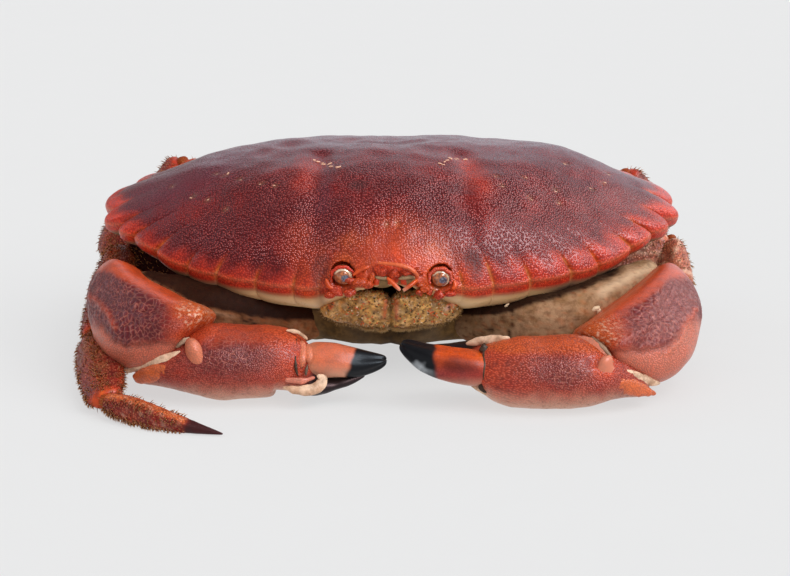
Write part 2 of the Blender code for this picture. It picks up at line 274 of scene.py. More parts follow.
class Skin:
    """A closed skin on a grid of points: rings from pole to pole, with columns round them.

    Base and flat keep the points, in space and as seen face on, from before it is raised.
    """

    def __init__(self, points, turn, share=0, is_round=False):
        self.points = self.base = points
        self.flat = face_on(points)
        self.turn = turn
        self.share = share
        self.masks = {}
        # A round skin is laid out flat about its first pole, and a long one by its length
        run = self.run_down()
        if is_round:
            self.sheet = run[..., None] * np.stack([np.cos(turn), np.sin(turn)], -1)
        else:
            girth = np.linalg.norm(np.roll(points, -1, 1) - points, axis=-1).sum(1).max()
            length = np.broadcast_to(run.mean(1, keepdims=True), turn.shape)
            # The sheet's two edges meet where the skin is hindmost
            seam = turn[0, np.argmax(points[..., 1].mean(0))]
            self.sheet = np.stack([length, (turn - seam) % math.tau / math.tau * girth], -1)

    def run_down(self):
        """How far each point is from the first pole, along the skin."""
        steps = np.linalg.norm(np.diff(self.points, axis=0), axis=-1)
        return np.concatenate([np.zeros((1, steps.shape[1])), np.cumsum(steps, 0)])

    def normals(self):
        """Outward directions at the points."""
        down = np.gradient(self.points, axis=0)
        across = np.roll(self.points, -1, 1) - np.roll(self.points, 1, 1)
        normals = unit(np.cross(across, down))
        normals[0] = unit(normals[1].mean(0))
        normals[-1] = unit(normals[-2].mean(0))
        middle = self.points.mean((0, 1))
        outward = ((self.points - middle) * normals).sum()
        return normals if outward > 0 else -normals

    def raise_by(self, relief):
        """Moves the points outwards by the relief, with one height at each pole."""
        relief = np.array(np.broadcast_to(relief, self.points.shape[:2]))
        relief[0] = relief[0].mean()
        relief[-1] = relief[-1].mean()
        self.points = self.points + self.normals() * relief[..., None]

    def rough(self, size, shift=0):
        """Smooth noise over the skin, from about -1 to 1."""
        return roughness_at(self.base, size, shift)

    def paint(self, **masks):
        """Adds to masks that the material reads, keeping each between 0 and 1."""
        for name, values in masks.items():
            values = np.broadcast_to(values, self.points.shape[:2])
            self.masks[name] = np.clip(self.masks.get(name, 0) + values, 0, 1)

    def flat_list(self, values):
        """A grid of values as a list with one entry for each pole."""
        rows = values[1:-1].reshape(-1, *values.shape[2:])
        return np.concatenate([values[:1, 0], rows, values[-1:, 0]])

    def outside(self):
        """Its points as a list, and its faces turned outwards."""
        rings, columns, _ = self.points.shape
        grid = np.arange((rings - 2) * columns).reshape(rings - 2, columns) + 1
        ahead = np.roll(grid, -1, 1)
        quads = np.stack([grid[:-1], ahead[:-1], ahead[1:], grid[1:]], -1).reshape(-1, 4)
        last = (rings - 2) * columns + 1
        first_caps = [(0, int(b), int(a)) for a, b in zip(grid[0], ahead[0])]
        last_caps = [(last, int(a), int(b)) for a, b in zip(grid[-1], ahead[-1])]
        faces = quads.tolist() + first_caps + last_caps
        points = self.flat_list(self.points)
        corners = points[quads] - points.mean(0)
        volume = (corners[:, 0] * np.cross(corners[:, 1], corners[:, 2])).sum()
        volume += (corners[:, 0] * np.cross(corners[:, 2], corners[:, 3])).sum()
        if volume < 0:
            faces = [face[::-1] for face in faces]
        return points, faces

    def place(self, *words):
        """Makes the skin a piece of its own."""
        pile = Pile()
        pile.add_skin(self)
        pile.place(*words)


def stay_above_ground(points):
    """Lifts points that lie below the ground up to it."""
    points[..., 2] = np.maximum(points[..., 2], 0)


def limb_skin(kind, path, tall, wide, up=UP, blunt=3, square=2.3):
    """A closed limb along a smooth path. Its share is how far along it each point lies.

    Tall and wide are half sizes at even steps along it: tall towards the up direction, wide
    across it. A higher blunt or square makes its ends or its corners fuller.
    """
    turn, height = ball_grid(kind)
    s = (1 - height) / 2
    forward = along(path, np.minimum(s + 0.01, 1)) - along(path, np.maximum(s - 0.01, 0))
    side = unit(np.cross(forward, np.asarray(up, float)))
    rise = unit(np.cross(side, forward))
    corner = (np.abs(np.cos(turn)) ** square + np.abs(np.sin(turn)) ** square) ** (-1 / square)
    reach = corner * arch(2 * s - 1, blunt)
    across = side * (np.cos(turn) * along(wide, s))[..., None]
    upward = rise * (np.sin(turn) * along(tall, s))[..., None]
    points = along(path, s) + (across + upward) * reach[..., None]
    stay_above_ground(points)
    return Skin(points, turn, s)


def pillow_skin(kind, outline, front, back, blunt):
    """A closed swelling on a closed outline in space, from its front pole to its back pole."""
    turn, height = ball_grid(kind)
    centre = np.mean(outline, 0)
    pole = np.where((height > 0)[..., None], np.asarray(front, float), np.asarray(back, float))
    reach = arch(height, blunt)[..., None]
    points = centre + (around(outline, turn / math.tau) - centre) * reach
    points = points + pole * np.abs(height)[..., None]
    stay_above_ground(points)
    return Skin(points, turn, is_round=True)


class Pile:
    """Many small closed shapes gathered into one piece."""

    def __init__(self):
        self.points = []
        self.faces = []
        self.sheets = []
        self.masks = []
        self.count = 0

    def add(self, points, faces, sheet, **masks):
        """Adds a closed shape, with its masks."""
        self.points.append(points)
        self.faces += [[corner + self.count for corner in face] for face in faces]
        self.sheets.append(sheet)
        self.masks.append(masks)
        self.count += len(points)

    def add_skin(self, skin, **masks):
        """Adds a skin, with its own masks and further ones of one value each."""
        own = {mask: skin.flat_list(values) for mask, values in skin.masks.items()}
        # Each skin is laid out on its own patch of the flat, so that no two match
        sheet = skin.flat_list(skin.sheet) + self.count * SHEET_STEP
        self.add(*skin.outside(), sheet, **own, **masks)

    def blob(self, centre, size, axis, lumps, seed, kind="blob", **masks):
        """Adds a slightly uneven egg: size is its half length along the axis and half widths."""
        turn, height = ball_grid(kind)
        ahead = unit(np.asarray(axis, float))
        side = unit(np.cross(ahead, (0.13, 0.21, 0.97)))
        rise = np.cross(side, ahead)
        wide = np.sqrt(np.maximum(1 - height**2, 0))
        grid = ahead * (height * size[0])[..., None]
        grid = grid + side * (wide * np.cos(turn) * size[1])[..., None]
        grid = grid + rise * (wide * np.sin(turn) * size[2])[..., None]
        uneven = 1 + lumps * roughness_at(grid, max(size) * 0.9, seed)
        self.add_skin(Skin(np.asarray(centre, float) + grid * uneven[..., None], turn), **masks)

    def strip(self, path, tall, wide, lumps, seed=0, up=FORWARD, **masks):
        """Adds a bent strip along a path: a lip, a ridge or a fold of membrane."""
        skin = limb_skin("strip", path, tall, wide, up, square=2.2)
        skin.raise_by(lumps * skin.rough(1.6, seed))
        self.add_skin(skin, **masks)

    def bristles(self, skin, chances, count, length, thickness, lean, rng):
        """Adds stiff hairs, standing on a skin where the chances are high.

        Lean is how far they slope towards the skin's last pole.
        """
        normals = skin.normals()
        columns = skin.points.shape[1]
        step = np.linalg.norm(np.roll(skin.points, -1, 1) - skin.points, axis=-1)
        weight = (chances * step)[2:-2].ravel()
        picks = rng.choice(len(weight), count, p=weight / weight.sum())
        row = picks // columns + 2
        column = picks % columns
        slide = rng.random((count, 1))
        root = skin.points[row, column] * (1 - slide) + skin.points[row, (column + 1) % columns] * slide
        downstream = unit(skin.points[row + 1, column] - skin.points[row, column])
        heading = unit(normals[row, column] + downstream * lean + rng.normal(0, 0.28, (count, 3)))
        curl = unit(heading + downstream * 0.5 * lean + rng.normal(0, 0.15, (count, 3)))
        size = length * rng.uniform(0.55, 1.15, (count, 1))
        side = unit(np.cross(heading, rng.normal(0, 1, (count, 3))))
        other = np.cross(heading, side)
        corners = []
        for share, width in ((-0.08, 1), (0.5, 0.75)):
            for angle in (0, math.tau / 3, 2 * math.tau / 3):
                spoke = side * math.cos(angle) + other * math.sin(angle)
                corners.append(root + heading * size * share + spoke * thickness * width)
        corners.append(root + heading * size * 0.5 + curl * size * 0.5)
        points = np.stack(corners, 1).reshape(-1, 3)
        # A hair that would reach below the ground bends back up from it
        points[:, 2] = np.abs(points[:, 2])
        starts = range(0, count * HAIR_CORNERS, HAIR_CORNERS)
        faces = [[start + corner for corner in face] for start in starts for face in HAIR_FACES]
        tone = np.repeat(rng.random(count), HAIR_CORNERS)
        self.add(points, faces, points[:, ::2], tip=np.tile(HAIR_TIPS, count), tone=tone)

    def place(self, name, surface, slot, *nodes):
        """Makes the pile one piece, which rides on the body and may stand for CAD nodes.

        A shape without a mask that another has counts as 0 there.
        """
        mesh = bpy.data.meshes.new(name)
        mesh.from_pydata(ORIGIN + np.concatenate(self.points) * MM, [], self.faces)
        mesh.validate()
        # Each point's place, in millimetres, on the skin as if laid out flat
        sheet = np.concatenate(self.sheets)
        sheet = np.concatenate([sheet, np.zeros((len(sheet), 1))], 1)
        layer = mesh.attributes.new("sheet", "FLOAT_VECTOR", "POINT")
        layer.data.foreach_set("vector", sheet.ravel().astype(np.float32))
        for mask in sorted(set().union(*self.masks)):
            parts = zip(self.masks, self.points)
            values = [np.broadcast_to(part.get(mask, 0), len(points)) for part, points in parts]
            layer = mesh.attributes.new(mask, "FLOAT", "POINT")
            layer.data.foreach_set("value", np.concatenate(values).astype(np.float32))
        mesh.shade_smooth()
        mesh.materials.append(shared_surface(surface))
        piece = bpy.data.objects.new(name, mesh)
        bpy.context.scene.collection.objects.link(piece)
        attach(piece, "root")
        if nodes:
            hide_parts(*nodes)


# Materials ----------


class Board:
    """Adds nodes to a tree. An input is given as a plain value or as another node's output."""

    def __init__(self, tree):
        self.tree = tree

    def add(self, kind, inputs=(), output=0, **settings):
        node = self.tree.nodes.new("ShaderNode" + kind)
        node.location = (len(self.tree.nodes) % 12 * 200, -(len(self.tree.nodes) // 12) * 300)
        for name, value in settings.items():
            setattr(node, name, value)
        for key, value in dict(inputs).items():
            self.feed(node.inputs[key], value)
        return node.outputs[output]

    def feed(self, socket, value):
        if isinstance(value, bpy.types.NodeSocket):
            self.tree.links.new(value, socket)
        elif socket.type == "RGBA":
            socket.default_value = (*value, 1)
        else:
            socket.default_value = value

    def read(self, name, output="Fac"):
        """What the mesh says about a point: a mask, or as a vector its place on the sheet."""
        return self.add("Attribute", (), output, attribute_name=name)

    def mix(self, amount, under, over, way="MIX"):
        return self.add("Mix", {0: amount, 6: under, 7: over}, 2, data_type="RGBA", blend_type=way)

    def tint(self, colour, tints, way="MIX"):
        """Lays other colours over a colour, each where its mask says."""
        for mask, over in tints.items():
            colour = self.mix(self.read(mask), colour, over, way)
        return colour

    def total(self, value, *others):
        for other in others:
            value = self.add("Math", {0: value, 1: other})
        return value

    def times(self, a, b):
        return self.add("Math", {0: a, 1: b}, operation="MULTIPLY")

    def slope(self, value, low, high, top=1):
        """A smooth rise from 0 at low to top at high."""
        inputs = {"Value": value, "From Min": low, "From Max": high, "To Min": 0, "To Max": top}
        return self.add("MapRange", inputs, interpolation_type="SMOOTHSTEP")

    def noise(self, scale):
        inputs = {"Vector": self.add("TexCoord", (), "Object"), "Scale": scale}
        return self.add("TexNoise", inputs | {"Detail": 4, "Roughness": 0.6})

    def vector(self, operation, inputs):
        return self.add("VectorMath", inputs, operation=operation)

    def effect(self, name, colour, second, scale, amount):
        """Places a shared group, made on first use: its colour, and its height if it has one."""
        group = bpy.data.node_groups.get(name) or GROUPS[name]()
        inputs = {0: colour, 1: second, 2: scale, 3: amount}
        return self.add("Group", inputs, node_tree=group).node.outputs


def new_group(name, second, *outputs):
    """A shader group's board, and its input and output sockets."""
    tree = bpy.data.node_groups.new(name, "ShaderNodeTree")
    for in_out, sockets in (("INPUT", ("Color", second, "Scale", "Amount")), ("OUTPUT", outputs)):
        for socket in sockets:
            kind = "NodeSocketColor" if "Color" in socket else "NodeSocketFloat"
            tree.interface.new_socket(socket, in_out=in_out, socket_type=kind)
    given = tree.nodes.new("NodeGroupInput").outputs
    return Board(tree), given, tree.nodes.new("NodeGroupOutput").inputs


def make_granules():
    """Fine raised granules: pale at their tops and dark between them."""
    board, given, out = new_group("granules", "Top Color", "Color", "Height")
    inputs = {"Vector": board.read("sheet", "Vector"), "Scale": given["Scale"], "Randomness": 0.88}
    gap, cell_colour, *_ = board.add("TexVoronoi", inputs, voronoi_dimensions="2D").node.outputs
    chance = board.add("SeparateColor", {0: cell_colour})
    top = board.times(board.slope(gap, 0.3, 0.08), board.slope(chance, -0.1, 1, 0.8))
    # Where granules are faint their pale tops go first, and the dark between them stays
    faint = board.times(given["Amount"], given["Amount"])
    dark = board.slope(given["Amount"], 0, 0.6)
    valley = board.times(board.slope(gap, 0.25, 0.55, 0.7), dark)
    shaded = board.mix(valley, given["Color"], (0.42, 0.3, 0.32), "MULTIPLY")
    board.feed(out["Color"], board.mix(board.times(top, faint), shaded, given["Top Color"]))
    board.feed(out["Height"], board.times(board.slope(gap, 0.55, 0.05), given["Amount"]))
    return board.tree


def make_mottle():
    """Cloudy drifts of a second colour."""
    board, given, out = new_group("mottle", "Second Color", "Color")
    amount = board.times(board.slope(board.noise(given["Scale"]), 0.42, 0.66), given["Amount"])
    board.feed(out["Color"], board.mix(amount, given["Color"], given["Second Color"]))
    return board.tree


def make_net():
    """A net of fine lines with raised cells between them."""
    board, given, out = new_group("net", "Line Color", "Color", "Height")
    where = board.read("sheet", "Vector")
    warp = board.add("TexNoise", {"Vector": where, "Scale": 0.5, "Detail": 3}, "Color")
    nudge = board.vector("SUBTRACT", {0: warp, 1: (0.5, 0.5, 0.5)})
    nudge = board.vector("SCALE", {0: nudge, "Scale": 2.4})
    inputs = {"Vector": board.vector("ADD", {0: where, 1: nudge}), "Scale": given["Scale"]}
    edge = board.add("TexVoronoi", inputs, feature="DISTANCE_TO_EDGE", voronoi_dimensions="2D")
    line = board.times(board.slope(edge, 0.16, 0.02), given["Amount"])
    board.feed(out["Color"], board.mix(line, given["Color"], given["Line Color"]))
    board.feed(out["Height"], board.times(board.slope(edge, 0, 0.2), given["Amount"]))
    return board.tree


GROUPS = {"granules": make_granules, "mottle": make_mottle, "net": make_net}


def new_surface(name):
    """A new material's board, and the sockets of its shader."""
    surface = bpy.data.materials.new(name)
    surface.use_nodes = True
    return Board(surface.node_tree), surface.node_tree.nodes["Principled BSDF"].inputs


def finish_surface(board, shader, colour, rough, height, depth, shine):
    """Joins colour, roughness and relief to a shader. Depth, in millimetres, is the relief's."""
    board.feed(shader["Base Color"], colour)
    board.feed(shader["Roughness"], rough)
    board.feed(shader["Specular IOR Level"], shine)
    inputs = {"Strength": 1, "Distance": depth * MM, "Height": height}
    board.feed(shader["Normal"], board.add("Bump", inputs, "Normal"))


def make_shell_surface(name, colours, ground, second, tops, pitches, gloss, shine, tint):
    """Cooked shell. Masks on the mesh say where each colour shows: warm, amber, pale, plum,
    violet, dark, black and a painted glint on black. Violet and dark also carry painted sheen and
    painted shade. Grain and net say where granules and wrinkles are."""
    board, shader = new_surface(name)
    granule_pitch, net_pitch = pitches
    low, high, pale = tops
    colour, *_ = board.effect("mottle", ground, second, 90, 0.75)
    tints = {"violet": colours.violet, "plum": colours.plum, "warm": colours.coral, "amber": colours.amber}
    colour, *_ = board.effect("mottle", board.tint(colour, tints), colours.plum, 420, 0.3)
    colour, wrinkles = board.effect("net", colour, colours.line, 1 / net_pitch, board.read("net"))
    top = board.mix(board.read("warm"), low, high)
    colour, granules = board.effect("granules", colour, top, 1 / granule_pitch, board.read("grain"))
    colour = board.tint(colour, {"pale": pale})
    colour = board.tint(colour, {"dark": (0.1, 0.04, 0.03)}, "MULTIPLY")
    # The grey on black finger tips is a painted glint.
    colour = board.tint(colour, {"black": colours.black, "steel": (0.36, 0.38, 0.4)})
    on_black = board.times(board.read("black"), 0.08)
    on_dark = board.times(board.read("dark"), 0.5)
    rough = board.total(board.times(board.noise(900), 0.25), on_black, on_dark, gloss - 0.12)
    height = board.total(granules, wrinkles, board.times(board.noise(1500), 0.35))
    board.feed(shader["Specular Tint"], tint)
    finish_surface(board, shader, colour, rough, height, 0.13, shine)


def make_flesh_surface(name, colours, ground, second, stain, shine=0.25):
    """Pale underside shell or membrane with stains and fine pits; its dark mask also carries
    painted shade under the shell.
    """
    board, shader = new_surface(name)
    colour, *_ = board.effect("mottle", ground, second, 140, 0.9)
    colour, *_ = board.effect("mottle", colour, stain, 480, 0.55)
    colour = board.tint(colour, {"warm": colours.coral, "amber": colours.amber, "pale": (0.74, 0.53, 0.34)})
    colour = board.tint(colour, {"dark": (0.06, 0.035, 0.02)}, "MULTIPLY")
    rough = board.total(board.times(board.noise(700), 0.3), 0.7 - 1.6 * shine)
    height = board.total(board.noise(500), board.times(board.noise(1600), 0.4))
    finish_surface(board, shader, colour, rough, height, 0.35, shine)


def make_bristle_surface(name, root, tip):
    """Stiff hair, lighter towards its tip; tone varies it from hair to hair."""
    board, shader = new_surface(name)
    colour = board.mix(board.read("tip"), root, tip)
    shade = board.slope(board.read("tone"), 0.2, 1, 0.6)
    board.feed(shader["Base Color"], board.mix(shade, colour, (0.35, 0.25, 0.2), "MULTIPLY"))
    board.feed(shader["Roughness"], board.slope(board.noise(2000), 0, 1, 0.9))


def make_eye_surface(name):
    """A wet eye: masks say where its blue-grey pupil, brown iris and cream rim show."""
    board, shader = new_surface(name)
    iris = board.mix(board.slope(board.noise(1400), 0.35, 0.65), (0.55, 0.16, 0.05), (0.2, 0.07, 0.04))
    pupil = board.mix(board.slope(board.noise(1200), 0.4, 0.6), (0.04, 0.04, 0.06), (0.2, 0.2, 0.27))
    tints = {"iris": iris, "pupil": pupil, "cream": (0.75, 0.58, 0.4)}
    board.feed(shader["Base Color"], board.tint((0.2, 0.06, 0.03), tints))
    board.feed(shader["Roughness"], 0.12)
    board.feed(shader["Coat Weight"], 0.6)


def make_surfaces(colours, sizes):
    """Makes the materials that the pieces share."""
    pitches = (sizes.granule / MM, 2)
    wet = sizes.wetness
    tint = (1, 0.66, 0.68)
    # Tops of granules on dark ground and on coral, and of the pale specks
    shell_tops = (colours.granule, (0.8, 0.16, 0.025), colours.cream)
    claw_tops = ((0.55, 0.12, 0.08), (0.8, 0.22, 0.09), (0.74, 0.44, 0.3))
    leg_tops = ((0.5, 0.2, 0.1), (0.78, 0.34, 0.16), (0.72, 0.45, 0.32))
    claw = (colours.shell, colours.brick, claw_tops, (0.55, 1.6))
    # Ground, second colour, tops, spacing of granules and wrinkles, roughness, shine and its tint
    shells = {
        "carapace_finish": (colours.maroon, colours.brick, shell_tops, pitches, 0.3, wet, tint),
        "claw_finish": (*claw, 0.32, wet * 0.8, tint),
        "finger_finish": (*claw, 0.3, wet * 0.4, (0.75, 0.88, 1)),
        "leg_finish": (
            (0.24, 0.04, 0.015), (0.4, 0.13, 0.045), leg_tops, (0.8, 1.5), 0.34, wet * 0.6, tint
        ),
    }
    for name, look in shells.items():
        make_shell_surface(name, colours, *look)
    # Ground, second colour, stain and for some their shine
    fleshes = {
        "belly_flesh": (colours.tan, (0.11, 0.055, 0.012), (0.05, 0.025, 0.006), 0.1),
        "arm_flesh": ((0.38, 0.22, 0.12), (0.27, 0.14, 0.06), (0.15, 0.06, 0.025), 0.06),
        "joint_membrane": ((0.85, 0.58, 0.4), (0.6, 0.33, 0.2), (0.25, 0.13, 0.07)),
        "mouth_fuzz": ((0.85, 0.46, 0.13), (0.42, 0.21, 0.05), (0.1, 0.055, 0.02)),
    }
    for name, look in fleshes.items():
        make_flesh_surface(name, colours, *look)
    make_bristle_surface("dark_bristle", (0.2, 0.05, 0.01), (0.62, 0.25, 0.06))
    make_bristle_surface("gold_bristle", (0.24, 0.11, 0.025), (0.7, 0.4, 0.12))
    make_eye_surface("eye_wet")


def shared_surface(name):
    """A material by name. The first call makes them all."""
    if name not in bpy.data.materials:
        make_surfaces(bpy.context.scene.crab_colours, bpy.context.scene.crab_sizes)
    return bpy.data.materials[name]


# Carapace ----------


def rim_radius(turn):
    """The plain rim's distance from the middle, at an angle in the rim's plane."""
    back = np.sin(turn) > 0
    curve = np.where(back, BACK_CURVE, FRONT_CURVE)
    depth = np.where(back, SHELL_BACK, SHELL_FRONT)
    across = np.abs(np.cos(turn)) / (SHELL_WIDTH / 2)
    fore = np.abs(np.sin(turn)) / depth
    radius = (across**curve + fore**curve) ** (-1 / curve)
    cut = np.maximum(np.sin(turn), 1e-3) / BACK_EDGE
    return np.where(back, (radius**-9.0 + cut**9) ** (-1 / 9), radius)


def rim_runs(side):
    """Runs along one side of the rim from the face to the back, and their turns."""
    turns = np.linspace(-math.pi / 2, math.pi / 2, RIM_STEPS)
    radii = rim_radius(turns)
    steps = np.hypot(np.diff(radii * np.cos(turns)), np.diff(radii * np.sin(turns)))
    lengths = np.concatenate([[0], np.cumsum(steps)])
    stops = (0, *LOBE_ENDS[side], lengths[-1])
    runs = []
    for start, end in zip(stops, stops[1:]):
        count = round((end - start) / (COLUMN_PITCH if end <= LAST_LOBE else BACK_COLUMN_PITCH))
        t = np.arange(count) / count
        # A column stands in every fissure, and its neighbours close by
        runs.append(start + (end - start) * (t - 0.09 * np.sin(t * math.tau)))
    runs = np.concatenate([*runs, lengths[-1:]])
    return runs, np.interp(runs, lengths, turns)


def lobe_shape(run, side):
    """How far each lobe stands out (0 to 1), share of the way across it, distance to the
    nearest fissure, depth of its notches, and the rim's outward step."""
    ends = np.asarray(LOBE_ENDS[side])
    i = np.clip(np.searchsorted(ends, run, side="right") - 1, 0, len(LOBE_DEPTHS) - 1)
    share = np.clip((run - ends[i]) / (ends[i + 1] - ends[i]), 0, 1)
    even = share ** (math.log(0.5) / np.log(np.asarray(LOBE_TIPS[side])[i]))
    depth = np.asarray(LOBE_DEPTHS)[i] * smooth(run, FIRST_LOBE - 3, FIRST_LOBE)
    depth = depth * smooth(run, LAST_LOBE + 1, LAST_LOBE)
    fissure = np.abs(run[..., None] - ends).min(-1)
    tab = np.sin(even * math.pi)
    step = depth * (tab ** np.where(depth > BIG_LOBE, 0.75, 0.5) - 1)
    return tab, share, fissure, depth, step + np.asarray(LOBE_OUTS[side])[i] * tab


def dome_relief(x, y):
    """The carapace's regions: stomach, gill and liver swellings, and the furrows between."""
    side = np.sign(x)
    furrow = sum(-1.2 * stroke(np.stack([x, y], -1), line, 3.2) for line in FURROWS)
    x = np.abs(x)
    stomach = 0.9 * hill(np.hypot(x, (y + 16) * 0.8), 20)
    gills = 2 * hill(np.hypot(x - 54, y - 10), 34) + 1.5 * hill(np.hypot(x - 57, y - 14), 24) * (side > 0)
    liver = 0.8 * hill(np.hypot(x - 30, y + 38), 11) * np.where(side > 0, 1, 0.7)
    heart = 0.7 * hill(np.hypot(x * 0.9, y - 14), 15)
    neck = -0.6 * hill(y - 1 - x * 0.35, 4) * smooth(x, 26, 10)
    brow = -0.7 * hill(np.hypot(x, (y + 46) * 1.2), 6)
    return stomach + gills + furrow + liver + heart + neck + brow


def sink_sockets(points):
    """Hollows a round socket, open to the front, behind each eye."""
    for centre in EYE_PLACES:
        off = points - centre
        across = off[..., 0] ** 2 + off[..., 2] ** 2
        floor = np.sqrt(np.maximum(SOCKET_RADIUS**2 - across, 0)) * 0.9
        inside = (across < SOCKET_RADIUS**2) & (off[..., 1] < floor) & (off[..., 1] > -12)
        points[..., 1] = np.where(inside, centre[1] + floor, points[..., 1])


EYE_PLACES = ((-13.1, -46.5, 5), (13.6, -46.5, 4.4))

# In plan in the carapace's frame: the furrows beside the stomach, then red and orange streaks
FURROWS = (
    ((-19.6, -8), (-20.2, -14), (-20.7, -21), (-21.2, -32), (-20.6, -40)),
    ((19.5, -7), (21.4, -12), (21.8, -21), (20.8, -32), (22.3, -40.5)),
)
STREAKS = (
    ((-23, -15), (-23.4, -20), (-24.4, -25)),
    ((21.4, -11.7), (23.4, -18), (25.8, -27)),
)
GLOWS = (
    ((-25, -41), (-24.9, -43.6), (-22.6, -45.8)),
    ((1.2, -42), (1.2, -45)),
)

# Pale pits, in plan in the carapace's frame
PITS = (
    (-62.7, -10.4), (-56, -18.6), (-51.7, -22.2), (-49.8, -12), (-47.1, -14.2), (-42.6, -17.9),
    (-36.1, -22.2), (-32.4, -24.2), (-46.3, -27.5), (-1.3, -40.7), (1.7, -40.5), (29.8, -20.9),
    (31.1, -24.6), (46.5, -20.8), (47.2, -25.3), (38.9, -26.7), (37.6, -19), (50.4, -5.8),
    (60.8, -10.7), (62.9, -2.8), (57.2, -15.5),
)
DIMPLES = ((-36.9, -2.5, 5), (-13.5, 9.6, 6), (9.8, -6.2, 5.5), (14, 10, 5.5), (-30, 4, 5))
SCARS = (((-22.5, -9.4), (-18.7, -13.4), (-14.6, -18.6)), ((14.2, -17.7), (17, -13), (21.8, -8.6)))
# Dark spots, in plan: the two beside the eye sockets are painted shade, the one on the dome the shell's
# own.
DARK_SPOTS = ((-19.3, -46.2), (22.5, -45), (-9, -28))


